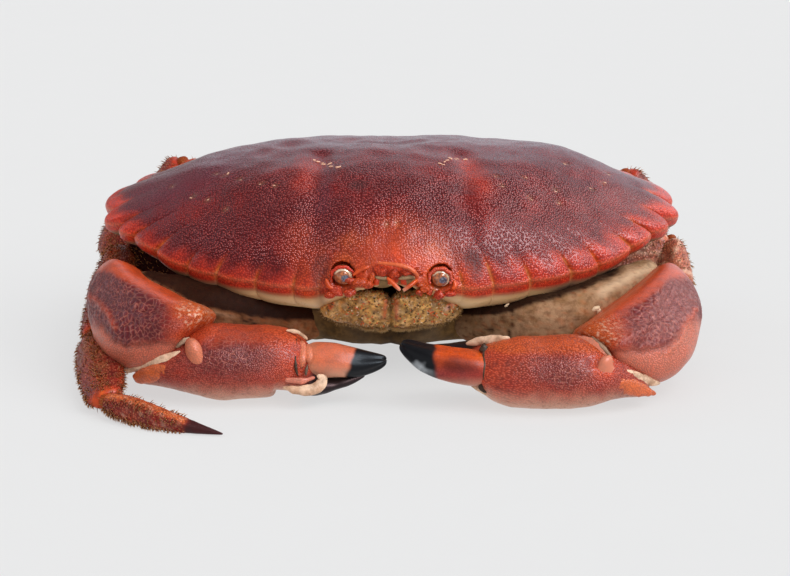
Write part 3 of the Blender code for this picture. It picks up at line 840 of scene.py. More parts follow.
def carapace_skin(look):
    """The carapace, with its lobes, furrows and sockets, and each point's place in plan."""
    right_runs, right_turns = rim_runs(1)
    left_runs, left_turns = rim_runs(-1)
    run = np.concatenate([right_runs, left_runs[-2:0:-1]])[None, :]
    turn = np.concatenate([right_turns, left_turns[-2:0:-1]])[None, :]
    side = np.concatenate([np.ones(len(right_runs)), -np.ones(len(left_runs) - 2)])[None, :]
    inward = np.concatenate([np.linspace(0, 1, SHELL_RINGS), np.ones(FOLD_RINGS)])[:, None]
    folding = np.linspace(0, 1, FOLD_RINGS + 1)[1:] * FOLD_END
    under = np.concatenate([np.zeros(SHELL_RINGS), folding])[:, None]
    closing = smooth(under, 1, FOLD_END)
    under = np.minimum(under, 1)
    reach = 1 - (1 - inward) ** 1.6
    shapes = zip(lobe_shape(run, -1), lobe_shape(run, 1))
    tab, share, fissure, depth, step = (np.where(side < 0, left, right) for left, right in shapes)
    in_lobes = smooth(run, FIRST_LOBE - 1, FIRST_LOBE + 1) * smooth(run, LAST_LOBE + 1, LAST_LOBE)
    notched = 1 - 0.8 * smooth(under, 0.35, 1)
    radius = rim_radius(turn) * reach + step * look.lobes * reach**11 * notched
    radius = radius + 0.6 * np.cos(run / 3.8 * math.tau) * smooth(run, 10, 8) * reach**40
    x = radius * np.cos(turn)
    y = radius * np.sin(turn) - CROWN_FORWARD * (1 - reach**2)
    backward = np.maximum(np.sin(turn), 0) ** 2
    z = DOME_HEIGHT * (1 - reach ** (2.4 - 0.7 * backward)) ** 0.75
    z = z + dome_relief(x * side, y) * (1 - reach**4)
    front = y < 0
    middle = hill(x, FACE_HALF) * front
    lateral = smooth(x, 50, 76)
    inset = (1 - 0.15 * under**2.3 - 0.07 * lateral * smooth(under, 0, 0.7)) * (1 - closing)
    fold_depth = FOLD_DEPTH * under**0.8 * (1 - 0.7 * middle - 0.08 * lateral)
    z = z - fold_depth - np.where(depth > BIG_LOBE, 0.6, 0.2) * tab * in_lobes * reach**25 * (1 - under)
    lift = RIM_LIFT * bell(x - 76, 12) * reach**8 + FACE_LIFT * middle * reach**10
    z = z + lift * (1 - closing)
    plan = np.stack([x * side, y], -1)
    skin = Skin(np.stack([x * side * inset, y * inset, z + 0 * x], -1), turn * side, is_round=True)
    run_down = skin.run_down()
    depth_in = run_down[SHELL_RINGS - 1] - run_down

    over = 1 - smooth(under, 0, 0.25)
    length = np.where(side > 0, 7.5, 4.8) + 1.2 * np.sin(run * 0.9) + 1.5 * (depth > BIG_LOBE)
    near_fissure = smooth(depth_in, length, length - 3)
    crease = bell(fissure, 0.36) * near_fissure * in_lobes * over
    valley = bell(fissure, 1.1) * smooth(depth_in, length - 2, 1) * over * depth * in_lobes
    inner = smooth(depth_in, length + 1, 2) * smooth(depth_in, 0, 2.2)
    puffed = tab**0.5 * inner * in_lobes * over * (0.35 + 0.14 * depth)
    lip = bell(depth_in - 0.8, 0.7) * over * smooth(run, FIRST_LOBE - 3, FIRST_LOBE)
    dents = sum(hill(gap_to(plan, spot), 1.5) for spot in PITS)
    dimples = sum(hill(gap_to(plan, spot), radius) for *spot, radius in DIMPLES)
    waves = skin.rough(14) * 0.7 + skin.rough(5, 9) * 0.25 * over
    waves = waves * (1 - reach**6) - 0.25 * dents - 0.5 * dimples
    skin.raise_by(puffed - 0.25 * crease - 0.12 * valley + 0.3 * lip + waves)
    sink_sockets(skin.points)

    drift = skin.rough(9, 3)
    fine = skin.rough(3.2, 7)
    nudged = plan + np.stack([fine, drift], -1) * 1.5
    # On the left the half of each lobe nearer the face is coral, partly painted light on the side
    # that faces the light; on the right its two borders
    glow = np.where(side > 0, 1 - bell(share - 0.54, 0.24), smooth(share, 0.8, 0.4))
    glow = np.where(in_lobes > 0, glow, 0.5)
    near_rim = smooth(depth_in, length + 3, length - 3)
    ahead = smooth(plan[..., 1], 42, 10)
    rim_band = near_rim * ahead * (0.5 + 0.38 * glow + 0.4 * drift + 0.2 * fine)
    rim_band = rim_band + 0.4 * smooth(depth_in, 3, 1) * ahead
    face = patch(nudged, (1, -50), (31, 15), 0, 0.2)
    streaks = sum(stroke(nudged, line, 3.6) for line in STREAKS)
    glows = sum(stroke(nudged, line, 4) for line in GLOWS)
    warm = rim_band * np.where(side > 0, 1, 0.72) + 0.37 * face + np.where(side > 0, 0.6, 0.42) * streaks
    warm = warm + 0.25 * glows + 0.5 * smooth(run, 92, 94) * smooth(depth_in, 9, 4) * in_lobes + 0.4 * lip
    borders = in_lobes * near_rim * smooth(fissure, 1.6, 0.3) * over
    face_glow = face * (0.75 + fine) * smooth(np.abs(plan[..., 0]), 0, 12)
    crease = crease * (0.75 + 0.9 * fine)
    lines = crease * np.where(side > 0, 0.85, 0.6)
    # Grey-violet over the back and on a patch of the left side: partly the shell's own tone, partly painted
    # sheen. The violet streak on the stomach's left flank is painted sheen.
    grey = 0.55 * smooth(plan[..., 1], -26, 8) + 0.75 * patch(nudged, (-58, -8), (27, 21), 10, 0.2)
    grey = np.clip(grey, 0, 0.9)
    flank_sheen = stroke(plan, ((-17.6, -16), (-18.2, -24), (-18.6, -34)), 2.2)
    # Plum in each lobe's middle, away from its coral part: partly a dark blotch of the shell, partly
    # painted shade on the half turned from the light.
    blotch_and_shade = (1 - glow) * bell(depth_in - 5.5, 3.3) * in_lobes * over
    fold = smooth(under, 0.08, 0.3) * (0.9 + 0.2 * drift)
    beside = bell(fissure - 0.75, 0.35) * near_fissure * in_lobes * over
    dark_spots = sum(patch(plan, spot, (3.5, 2.5)) for spot in DARK_SPOTS)
    shaded = smooth(run, 38, 50) * smooth(run, 150, 135) * smooth(under, 0.03, 0.3)
    calm = np.maximum(0.45 * smooth(depth_in, 8, 4) * in_lobes, 0.7 * face)
    skin.paint(
        warm=warm * over,
        amber=lines + 0.3 * borders + 0.5 * face_glow + 0.15 * face + 0.15 * glows,
        violet=(grey + 0.2 * drift + 0.6 * flank_sheen) * (1 - near_rim) * (1 - 0.8 * streaks) * over,
        plum=blotch_and_shade * 0.7 * smooth(run, 24, 34) * smooth(drift + fine, -0.7, 0.7),
        pale=dents * 0.08 + 0.3 * lines + 0.12 * lip + fold,
        # Painted shade beside the fissures, under the rim's fold away from the face and in the spots beside
        # the eye sockets.
        dark=0.45 * dark_spots + 0.12 * beside + 0.95 * shaded,
        grain=over * (0.95 + 0.25 * drift - 0.5 * grey) * (1 - 0.7 * crease) * (1 - calm),
    )
    skin.points = lean_back(skin.points)
    return skin, plan


def fleck_pile(skin, plan, rng):
    """Small pale flecks: a chain of dashes on each scar, and a speck in each pit."""
    pile = Pile()
    normals = skin.normals()
    places = []
    for line in SCARS:
        for share in np.linspace(0, 1, 9):
            places.append((*along(line, np.array(share)), 0.8))
    places += [(*spot, 0.52) for spot in PITS]
    for x, y, size in places:
        gaps = gap_to(plan[:SHELL_RINGS], np.array((x, y)) + rng.normal(0, 0.35, 2))
        near = np.unravel_index(gaps.argmin(), gaps.shape)
        lie = unit(np.cross(normals[near], (rng.normal(0, 0.5), 1, rng.normal(0, 0.3))))
        size = size * rng.uniform(0.6, 1.2)
        place = skin.points[near] - normals[near] * 0.1
        pile.blob(place, (size, size * 0.5, size * 0.4), lie, 0.25, x, pale=0.92, warm=0.5)
    return pile


# Face, mouth and belly ----------


def eye_skin(place):
    """An eyeball looking forward and a little to the right, with a raised cream crescent."""
    turn, height = ball_grid("eye")
    wide = np.sqrt(np.maximum(1 - height**2, 0))
    crescent = smooth(np.cos(turn - math.radians(40)), -0.9, 0.2) * (height > 0)
    rim = bell(wide - 0.84, 0.13) * (0.15 + 0.85 * crescent) * (height > 0)
    right = wide * np.cos(turn) * EYE_RADIUS
    up = wide * np.sin(turn) * EYE_RADIUS
    swell = 1 + 0.07 * rim
    ball = np.stack([right * swell, -height * EYE_RADIUS * swell, up * swell], -1)
    skin = Skin(lean_back(ball + np.asarray(place) - (0, 0.7, 0)), turn)
    pupil = np.hypot(right - 0.55, up + 0.15)
    swirl = 0.25 * np.sin(np.arctan2(up, right - 0.55) + pupil * 4)
    skin.paint(
        pupil=smooth(pupil + swirl, 1.25, 0.85) * (height > 0),
        iris=smooth(wide, 0.82, 0.7) * (height > 0),
        cream=smooth(rim, 0.25, 0.6),
    )
    return skin


def brow_pile():
    """Knobs and ridges round the eyes and across the face."""
    pile = Pile()
    # Centre, half length and half widths, axis, and how amber each is
    knobs = (
        ((-2.6, -49.9, 34.2), (2, 1.5, 1.4), (0.5, -1, -0.3), 0.15),
        ((0.9, -50.2, 33.5), (1.7, 1.4, 1.3), (0, -1, -0.3), 0.25),
        ((4.3, -49.9, 33.9), (1.9, 1.5, 1.3), (-0.4, -1, -0.3), 0.2),
        ((7.4, -49.2, 33.9), (1.3, 1.1, 1.1), (1, 0.4, -0.6), 0.3),
        ((-8.1, -49.7, 30.9), (2.8, 1.5, 1.4), (1, 0.1, -0.05), 0.5),
        ((-10.9, -49.2, 31.2), (1.7, 1, 1), (1, 0, -0.2), 0.3),
        ((-6, -49.9, 30.4), (1.5, 1.4, 1.3), (0, -1, 0), 0.45),
        ((-5.2, -50.2, 32.2), (1.5, 0.8, 0.8), (0.3, 0, 1), 0.7),
        ((-14.7, -48.5, 28.3), (1.9, 1.7, 1.5), (1, 0, -0.2), 0.05),
        ((-11.2, -48.9, 27.9), (1.7, 1.3, 1.2), (1, 0, 0.2), 0.2),
        ((-16.2, -47.9, 27.2), (1.8, 1.2, 1.1), (1, 0, 0.4), 0.3),
        ((9.2, -49.6, 29.4), (1.5, 1.4, 1.3), (0, -1, 0), 0.6),
        ((8, -49.8, 30.2), (1.1, 1, 0.9), (0, -1, 0), 0.75),
        ((7.8, -49.7, 28.2), (1.2, 1, 1), (0, -1, 0), 0.4),
        ((10.6, -49.4, 28.2), (1.1, 1, 0.9), (0, -1, 0), 0.25),
        ((13.3, -48.9, 27.3), (1.6, 1.2, 1.1), (1, 0, -0.2), 0.05),
        ((16.4, -48.4, 27.4), (1.5, 1.1, 1), (1, 0, 0.1), 0),
    )
    for place, size, axis, amber in knobs:
        pile.blob(place, size, axis, 0.5, place[0], amber=amber * 0.7 + 0.1, warm=0.9, grain=0.8)
    strips = (
        ((-10.3, -49.9, 33), (-7.8, -50, 34.7), (-5.8, -49.9, 35.5)),
        ((-17.6, -47.8, 31.6), (-17, -48.4, 29.8), (-15.6, -49, 29)),
        ((17.3, -48, 31.2), (17.6, -48.2, 29.6), (16.8, -48.6, 28.8)),
    )
    for path in strips:
        pile.strip(path, (0.5, 0.65, 0.5), (0.5, 0.6, 0.5), 0.15, amber=0.5, warm=0.9)
    return pile


def orbit_pile():
    """A raised and beaded rim round the top of each eye."""
    pile = Pile()
    for centre, size, glow in zip(EYE_PLACES, (0.42, 0.62), (0, 0.35)):
        arc = []
        for step in range(21):
            turn = math.radians(-25 + step * 11.5)
            reach = 3.05 + 0.12 * math.sin(step * 1.7)
            arc.append(np.array([reach * math.cos(turn), -2.2, reach * math.sin(turn)]) + centre)
            bead = lean_back(arc[-1] + (0, -0.45 * size, 0.3 * size))
            if glow:
                pile.blob(bead, (0.5, 0.4, 0.4), FORWARD, 0.2, step, warm=1, pale=0.15)
        sizes = [0.5 * size, size, size, size, 0.5 * size]
        path = lean_back(np.array(arc))
        pile.strip(path, sizes, sizes, 0.2, centre[0], amber=glow, warm=0.95, grain=0.4)
    return pile


def hood_pile():
    """Beige floor of the small hollows under the brow."""
    pile = Pile()
    for place, size in (((-2.4, -48, 30.9), (2.9, 2.2, 1.9)), ((4.3, -48, 31.1), (3, 2.2, 1.7))):
        pile.blob(place, size, (1, 0, 0), 0.3, place[0], pale=0.1)
    lips = (
        ((-4.4, -49.8, 32.6), (-2.4, -50, 32.4), (-0.6, -50.2, 31.9)),
        ((2, -50.2, 32), (4.4, -50, 32.5), (6.6, -49.6, 32.2)),
    )
    for path in lips:
        pile.strip(path, (0.4, 0.6, 0.4), (0.5, 0.8, 0.5), 0.2, path[0][0], UP, pale=0.3)
    return pile


def feeler_skin(name):
    """A ringed feeler."""
    slim = (0.5, 0.6, 0.5)
    skin = limb_skin("feeler", FEELERS[name], slim, slim, FORWARD, 4, 2)
    skin.raise_by(0.05 * np.sin(skin.share * 80))
    skin.paint(warm=0.9, amber=0.6, pale=0.6 * smooth(skin.share, 0.5, 1) if "short" in name else 0.1)
    return skin


MOUTH_OUTLINE = (
    (0.5, -44.5, 25.2), (6, -44.5, 26.8), (12.5, -43, 26.2), (18.8, -41, 22.8), (17.5, -39, 18.9),
    (7, -39.5, 16.4), (0.5, -40.5, 17),
)
FEELERS = {
    "feeler_long": (
        (7.6, -51, 32.8), (6.4, -51.4, 34.4), (4.4, -51.6, 35.7), (1.2, -51.4, 36.4), (-3.6, -50.3, 36.6),
    ),
    "feeler_short_left": ((-0.9, -51.3, 32.6), (1, -52.2, 31), (2.6, -52.3, 29.4)),
    "feeler_short_right": ((7.3, -51, 32), (5.2, -52.1, 30.6), (3.4, -52.2, 29.3)),
}


def mouth_skin(side):
    """One mouth plate: lumpy, with a raised rib along its middle edge."""
    out = SIDES[side]
    outline = [(out * x, y, z) for x, y, z in MOUTH_OUTLINE]
    skin = pillow_skin("mouth", outline, (0, -3.5, -1), (0, 2.5, 0.5), 3)
    seam = stroke(skin.flat, ((out * 1.5, 13.4), (out * 1.8, 8.6)), 0.6)
    skin.raise_by(skin.rough(2.4) * 0.7 + skin.rough(0.9, 4) * 0.35 + seam * 0.6)
    crusts = np.maximum(-skin.rough(1.5, 31), 0) + np.maximum(skin.rough(0.7, 41), 0)
    skin.paint(
        warm=seam * 0.6 + patch(skin.flat, (out * 16.5, 12), (2, 1.2), 50) * 0.6,
        amber=np.maximum(skin.rough(1.3, 21), 0) * 0.5,
        dark=smooth(skin.base[..., 2], 18, 15) * 0.6 + crusts * 0.6,
        pale=np.maximum(skin.rough(1.6, 11), 0) * 0.5,
    )
    return skin


def crust_pile(skin, rng):
    """Grains caught in a mouth plate's hair: white, orange and dark."""
    pile = Pile()
    rows, columns = np.nonzero((skin.points[..., 1] < -42) & (skin.points[..., 2] > 16))
    for pick in rng.choice(len(rows), GRAINS, replace=False):
        size = rng.uniform(0.1, 0.3)
        tone = rng.random()
        looks = {"pale": 1} if tone < 0.3 else {"warm": 0.8, "amber": 0.4} if tone < 0.6 else {"dark": 0.85}
        place = skin.points[rows[pick], columns[pick]]
        size = (size * 1.8, size, size * 0.7)
        pile.blob(place, size, rng.normal(0, 1, 3), 0.3, pick * 0.1, "grain", **looks)
    return pile


def flake_pile():
    """White flakes of dried flesh stuck under the shell on the right."""
    pile = Pile()
    flakes = (
        ((56.4, -43.2, 21.8), (1.5, 0.6, 0.8)), ((57.4, -43, 21.3), (0.8, 0.5, 0.9)),
        ((32.2, -40.6, 22.2), (0.9, 0.35, 0.35)), ((35.5, -41.2, 20.6), (0.8, 0.3, 0.4)),
        ((34.6, -41.2, 21.4), (0.3, 0.3, 0.7)),
    )
    for place, size in flakes:
        pile.blob(place, size, (1, 0.2, 0.6), 0.5, place[0], pale=1)
    return pile


def thorax_skin():
    """The belly under the shell."""
    turn, height = ball_grid("belly")
    spread = np.where(height > 0, arch(height, 2), arch(height, 4))
    depth = np.where(np.sin(turn) < 0, 41, 44)
    x = 58 * np.cos(turn) * spread
    y = depth * np.sin(turn) * spread
    z = -FOLD_DEPTH - 0.3 - 15.5 * np.maximum(-height, 0) ** 0.75
    skin = Skin(lean_back(np.stack([x, y, z + 0 * x], -1)), turn, is_round=True)
    ribs = np.abs(np.sin(np.arctan2(y, np.abs(x)) * 6))
    skin.raise_by(skin.rough(7) * 0.7 - 0.7 * smooth(ribs, 0.25, 0) * smooth(-height, 0.2, 0.6))
    across = skin.points[..., 0]
    stains = roughness_at(skin.points, 3, 7)
    # Painted dark in the middle and at the sides: painted shade under the shell; the stains are its own.
    skin.paint(
        pale=smooth(roughness_at(skin.points, 10, 5), -0.2, 0.6) * 0.2,
        dark=0.75 * hill(across, 34) + 0.9 * smooth(np.abs(across), 38, 48) + 0.3 * stains,
    )
    return skin


def tail_skin():
    """The tail flap, folded forward under the belly."""
    path = lean_back(np.array([(0, 48, -15), (0, 36, -25), (0, 16, -28), (0, -6, -28.5)], float))
    skin = limb_skin("tail", path, (2, 2, 2, 1.6), (15, 16, 13, 8), square=3)
    rings = np.abs(np.sin(skin.share * math.pi * 6))
    skin.raise_by(skin.rough(5) * 0.3 - 0.5 * smooth(rings, 0.3, 0))
    skin.paint(warm=smooth(skin.rough(8, 3), 0, 0.6) * 0.4)
    return skin


ARMS = {
    "left": (((-14, -24, 16), (-48, -35, 18), (-73, -28, 24)), (8, 9, 7.5), (8, 8, 7)),
    "right": (((18, -30, 15), (49, -38, 18), (76, -18, 26)), (7, 8, 7), (8, 8, 7)),
}
# Heights of the shell's shadow on each upper arm, by width
EAVES = {
    "left": ((-68, 20), (-62, 17), (-55, 14), (-47, 11.4), (-38, 9.8), (-28, 8.6)),
    "right": ((30, 10), (39.3, 12.6), (55.6, 17.6), (66.4, 22.5)),
}


def arm_skin(side):
    """The claw's upper arm, mostly in the shell's shadow."""
    skin = limb_skin("arm", *ARMS[side])
    across = skin.flat[..., 0]
    height = skin.flat[..., 1]
    pitted = skin.rough(1.6, 2)
    lumps = skin.rough(6)
    skin.raise_by(lumps * 0.6 - 0.3 * smooth(pitted, 0.35, 0.6))
    skin.paint(dark=smooth(pitted, 0.35, 0.55) * 0.2)
    stains = smooth(skin.rough(1.3, 8), 0.1, 0.5)
    pores = smooth(skin.rough(0.8, 18), 0.3, 0.5)
    # Above the eaves line and towards the body the arm is painted dark: painted shade under the shell.
    eaves = read_off(across, EAVES[side])
    if side == "right":
        # The pale crest along the ridge is a painted highlight.
        crest_highlight = stroke(skin.flat, ((58.5, 15.5), (63, 18), (68, 20.8), (74, 23)), 1.4)
        suture = stroke(skin.flat, ((33.5, 12), (34.2, 8), (32.6, 4), (33.4, 0)), 0.4)
        shell_shade = smooth(height, eaves - 1.2, eaves + 0.4) * smooth(across, 68, 62)
        lower = smooth(height, 5, -3)
        # Darker along the suture, in the pores and towards the bottom, more where stained.
        darker_marks = 0.6 * suture + 0.35 * lower * (0.4 + stains) + 0.25 * pores
        rust = patch(skin.flat, (60, 9), (9, 3.5), 35, 0.2)
        skin.paint(
            pale=0.6 * crest_highlight,
            dark=darker_marks + 0.95 * shell_shade + 0.55 * smooth(across, 42, 24),
            warm=rust * 0.2,
            amber=rust * 0.3 + 0.16 * stains + 0.2 * lower,
        )
    else:
        shell_shade = smooth(height, eaves - 1.6, eaves + 0.6) * smooth(across, -72, -67)
        skin.paint(
            pale=0.3 * (bell(height - eaves + 2, 0.6) * smooth(across, -40, -46)),
            dark=0.97 * shell_shade + 0.3 * pores + 0.55 * smooth(across, -64, -52) + 0.3 * lumps,
            amber=0.15 * stains + 0.2,
        )
    return skin


# Claws ----------

WRISTS = {
    "left": (
        (-48.8, -57, 24.5), (-58, -49, 27), (-67, -39, 29), (-78, -24, 31.5), (-85, -23, 24.5),
        (-84.5, -33, 16.5), (-79, -45, 8.5), (-70, -53, 6.5), (-60, -58.5, 11), (-54, -60.5, 18.5),
    ),
    "right": (
        (51, -58, 19.5), (59.5, -49, 23), (69, -37, 27), (79, -21, 29.5), (85.5, -21, 23.5),
        (87, -32, 16), (82, -47, 8), (73, -56, 4.2), (61.5, -63, 10), (57, -65, 16.5),
    ),
}
PALM_PATHS = {
    "left": (
        (-69, -57, 6.5), (-59, -58, 10.1), (-49, -58, 11), (-39, -58, 10.8), (-29, -58.5, 10.8),
        (-19, -60, 5), (-7, -60, 7.6),
    ),
    "right": (
        (69.5, -61, 3.7), (60, -64, 8.8), (50.5, -65, 10.1), (41, -65, 9.9), (31, -64.5, 10.4),
        (21, -57, 13), (9, -58, 14.5),
    ),
}
PALM_SIZES = {
    "left": ([4, 7.5, 10.2, 9.8, 8.9, 3, 1.3], [5, 9.5, 11, 11, 9.5, 4.6, 1.6]),
    "right": ([3, 7.4, 9.7, 9.5, 9, 3.8, 1.4], [5, 9.5, 11, 11, 9.5, 4.5, 1.6]),
}
FINGER_PATHS = {
    "left": ((-23.5, -59, 12), (-15.5, -59.5, 11.9), (-8, -60, 11.2), (-1.2, -61, 12.2)),
    "right": ((27, -66, 11), (18.5, -66, 11.8), (10, -65, 13.8), (3, -63, 17.2)),
}
FINGER_SIZES = {
    "left": ([5.4, 4.6, 3.6, 2], [6, 5.2, 4, 2.2]),
    "right": ([5.6, 4.8, 3.9, 2.2], [6, 5.4, 4.4, 2.6]),
}
# Each wrist's upper edge, the ridge on its outer face, the groove above its lower band and its
# granular corner; where its wrinkles fade towards the body, and how dark they are
WRIST_MARKS = {
    "left": (
        ((-47, 10.6), (-57.5, 14.3), (-67, 19), (-78, 24.5)),
        ((-83.5, 14.3), (-80, 12.8), (-76, 9), (-74.5, 6)),
        ((-58, 1.5), (-65.6, 1.4), (-71.3, 0.6), (-75.5, 2.4), (-79, 6)),
        (-51.5, 9.6), (63, 55), 1.1,
    ),
    "right": (
        ((51, 5.5), (60.3, 11.5), (70.2, 17.2), (77.5, 22.7)),
        ((84.5, 11), (81.6, 8), (78.2, 2.4), (74.6, -0.7)),
        ((59, -0.5), (69, -0.6), (74, 0.6), (78.5, 4), (81, 7.5)),
        (55.5, 3.8), (66, 58), 0.75,
    ),
}
# Each palm's pit, and the middle, size and darkness of its plum patch
PALM_MARKS = {
    "left": ((-47.5, 2.3), (-43, -2), (20, 11), 1.3),
    "right": ((53.5, -3.2), (45, -6), (15, 8), 0.85),
}


def wrist_skin(side, net_cell):
    """A claw's wrist: an orange upper edge, a wrinkled plum face and a smooth lower band."""
    out = SIDES[side]
    skin = pillow_skin("wrist", WRISTS[side], (out, -15, 5), (-5 * out, 13, -5), 2.4)
    top, ridge, groove, corner, near_span, deep = WRIST_MARKS[side]
    flat = skin.flat
    rough = skin.rough(2.5, 6)
    bent = flat + np.stack([rough, -rough], -1) * 0.6
    # Heights of the upper edge and of the groove above the lower band, at each point's width
    outwards = flat[..., 0] * out
    edge = read_off(outwards, [(a * out, b) for a, b in top])
    sill = read_off(outwards, [(a * out, b) for a, b in groove])
    upper = smooth(bent[..., 1], edge - 4, edge - 1)
    low = smooth(bent[..., 1] + 0.8 * skin.rough(6, 12), sill + 2.2, sill - 1.6)
    granular = patch(flat, corner, (9, 6), 35 * out, 0.2)
    near = smooth(outwards + 2 * rough, *near_span)
    net_area = (1 - upper) * (1 - low) * (1 - near)
    between = (1 - upper) * (1 - low) * near * (1 - granular)
    on_ridge = stroke(bent, ridge, 0.9)
    on_groove = stroke(bent, groove, 0.8)
    wrinkles = cells_at(skin.base + rough[..., None] * 0.7, net_cell * np.array((1.25, 1, 0.85)))
    wrinkles = smooth(wrinkles, 0.3, 0) * net_area
    relief = 0.15 * net_area - 0.22 * wrinkles + 0.5 * on_ridge - 0.3 * on_groove
    skin.raise_by(relief + skin.rough(8, 2) * 0.35)
    # The outer facet beyond the ridge is painted violet: a painted sheen.
    facet_sheen = smooth(outwards - read_off(flat[..., 1], [(b, a * out) for a, b in ridge[::-1]]), 0.3, 1.5)
    facet_sheen = facet_sheen * net_area * smooth(flat[..., 1], ridge[0][1] + 4, ridge[0][1])
    dots = smooth(skin.rough(0.75, 3), 0.15, 0.35)
    skin.paint(
        warm=0.7 * upper + 0.75 * low + 0.3 * on_ridge + 0.8 * granular + 0.5 * between + 0.15 * rough,
        amber=0.42 * upper + granular * 0.75 + 0.2 * on_ridge + 0.12 * low + 0.25 * between,
        plum=net_area * (deep + 0.2 * rough) * (1 - 0.4 * on_ridge) + 0.3 * between,
        violet=facet_sheen * 0.7,
        net=net_area * (0.45 + 0.3 * rough),
        pale=granular * dots * 0.85 + 0.22 * low,
        dark=on_groove * 0.25 + 0.35 * wrinkles,
        grain=0.6 + 0.3 * low + 0.4 * granular - 0.5 * net_area - 0.35 * upper,
    )
    return skin


def palm_skin(side):
    """A claw's palm and fixed finger."""
    skin = limb_skin("palm", PALM_PATHS[side], *PALM_SIZES[side], square=2.1)
    hollow, middle, spread, deep = PALM_MARKS[side]
    rough = skin.rough(3, 6)
    tone = skin.rough(8, 4)
    pit = patch(skin.flat, hollow, (3.2, 2.4), 0, 0.1)
    skin.raise_by(skin.rough(7) * 0.35 + skin.rough(2.5, 3) * 0.12 - 0.6 * pit)
    height = skin.base[..., 2]
    tip = smooth(skin.share, 0.76, 0.8)
    top = smooth(height + rough, 16, 19)
    crown = top if side == "left" else 1.7 * smooth(height + 0.5 * rough, 16.4, 18)
    bottom = smooth(height + rough, 9, 2.5)
    distal = smooth(skin.share, 0.63, 0.69) * (1 - tip)
    specks = smooth(skin.rough(0.9, 8), 0.3, 0.5) * (1 - tip)
    knobby = patch(skin.flat, (56.5, -3.5), (4.5, 6), 0, 0.3)
    body = patch(skin.flat + rough[..., None], middle, spread, -6 * SIDES[side], 0.1) * (1 - tip)
    clear = 1 - 0.85 * body
    fade = 0.02 + 0.5 * bottom + 0.25 * smooth(height, 4, 1)
    skin.paint(
        warm=(0.32 * top + 0.3 * distal + 0.35 + 0.2 * tone) * clear + knobby,
        amber=(0.35 * crown + 0.15 * distal) * clear + 0.4 * knobby,
        plum=body * (deep + 0.35 * tone) * (1 - 0.5 * bottom) * (1 - knobby) + pit,
        net=body * (0.42 + 0.3 * rough),
        violet=0.4 * bottom * (1 - tip),
        pale=fade * (1 - tip) + 0.2 * distal * smooth(height, 9, 4),
        dark=0.35 * specks,
        grain=(0.85 - 0.45 * body - 0.25 * top) * (1 - tip),
        black=tip,
    )
    return skin


def finger_skin(side):
    """A claw's moving finger: orange at its root, black and glossy to the tip."""
    skin = limb_skin("finger", FINGER_PATHS[side], *FINGER_SIZES[side])
    flat = skin.flat
    height = skin.base[..., 2]
    s = skin.share
    edge = s - 0.012 * (flat[..., 1] + 7) + skin.rough(2, 5) * 0.02
    groove = np.cos(skin.turn * 5) * 0.22 * smooth(s, 0.1, 0.3)
    skin.raise_by(skin.rough(5) * 0.25 + groove)
    border = 0.48 if side == "left" else 0.5
    black = smooth(edge, border, border + 0.06)
    # On the right the finger's upper side is painted warmer and more amber than its shaded lower side:
    # painted light.
    rise = 1 if side == "left" else smooth(height, 12, 15)
    skin.paint(
        black=black,
        warm=0.25 + 0.5 * rise + 0.2 * skin.rough(4, 2),
        amber=0.15 + 0.35 * rise + 0.3 * smooth(s, 0.25, 0.1) * rise,
        grain=0.25 * (1 - black),
    )
    if side == "left":
        # Paler towards its underside and at its root; the pale root is partly a painted highlight.
        skin.paint(pale=0.18 + smooth(height, 13.5, 7.5) * 0.5 + 0.3 * smooth(s, 0.2, 0.04))
    else:
        # A grey patch on the black tip is a painted glint; the lower side below the ridge is painted
        # violet, and in part dark, as painted shade.
        steel = patch(flat + skin.rough(2, 7)[..., None], (7.4, -4.9), (6.5, 1.7), -24, 0.1)
        skin.paint(
            steel=steel * (0.75 + 0.4 * skin.rough(1.2, 9)),
            dark=patch(flat, (18, -4.2), (9, 3.2), -6, 0.1) * 0.7,
            violet=smooth(height + skin.rough(3, 8), 14.5, 11),
            pale=0.5 * smooth(s, 0.06, 0.02) + 0.4 * smooth(height, 11, 7.5),
        )
    return skin


# The round knob at each wrist: place, half sizes, axis, unevenness and looks
KNOBS = {
    "left": (
        (-52.2, -66, 14.9), (5.4, 3.2, 2.4), (0.35, 0.05, -1), 0.2,
        {"warm": 0.8, "amber": 0.55, "pale": 0.28, "grain": 0.4},
    ),
    "right": (
        (56.6, -72.4, 13), (3.8, 3, 2), (-0.3, 0.1, -1), 0.35,
        {"warm": 0.6, "amber": 0.3, "pale": 0.35},
    ),
}
# Raised edges on the claws: path, size, and how amber and how pale each is
EDGES = {
    "left": (
        # The palm's orange corner under the wrist
        (((-69.5, -59.6, 6.4), (-63.3, -63.6, 9.2), (-59, -66, 10.9), (-54.5, -67, 12)), 2.7, 0.85, 0),
        # Plates and ring at the moving finger's root
        (((-22.6, -62, 16.6), (-21.9, -64.6, 14.2), (-21.8, -65.4, 11.8)), 1.3, 0.7, 0.15),
        (((-23.8, -61.6, 17.6), (-23.6, -65.4, 14), (-23.8, -66.3, 11.4)), 1.2, 0.6, 0.15),
        # Pink hollow of the palm's hook
        (((-28, -67.4, 8.4), (-24, -67.6, 8.1), (-20.4, -66.4, 8.6)), 0.9, 0, 0.25),
    ),
    "right": (
        # The palm's rolled edge under the wrist
        (((49.5, -65, 19), (53.3, -68.2, 17.8), (56.6, -71.2, 15.2), (57, -73, 12.4)), 2.2, 0.3, 0.25),
        (((55.5, -73, 10.2), (61.3, -71.4, 8.4), (66.5, -68.1, 5.8), (71.5, -64, 3.4)), 2.6, 0.85, 0),
    ),
}
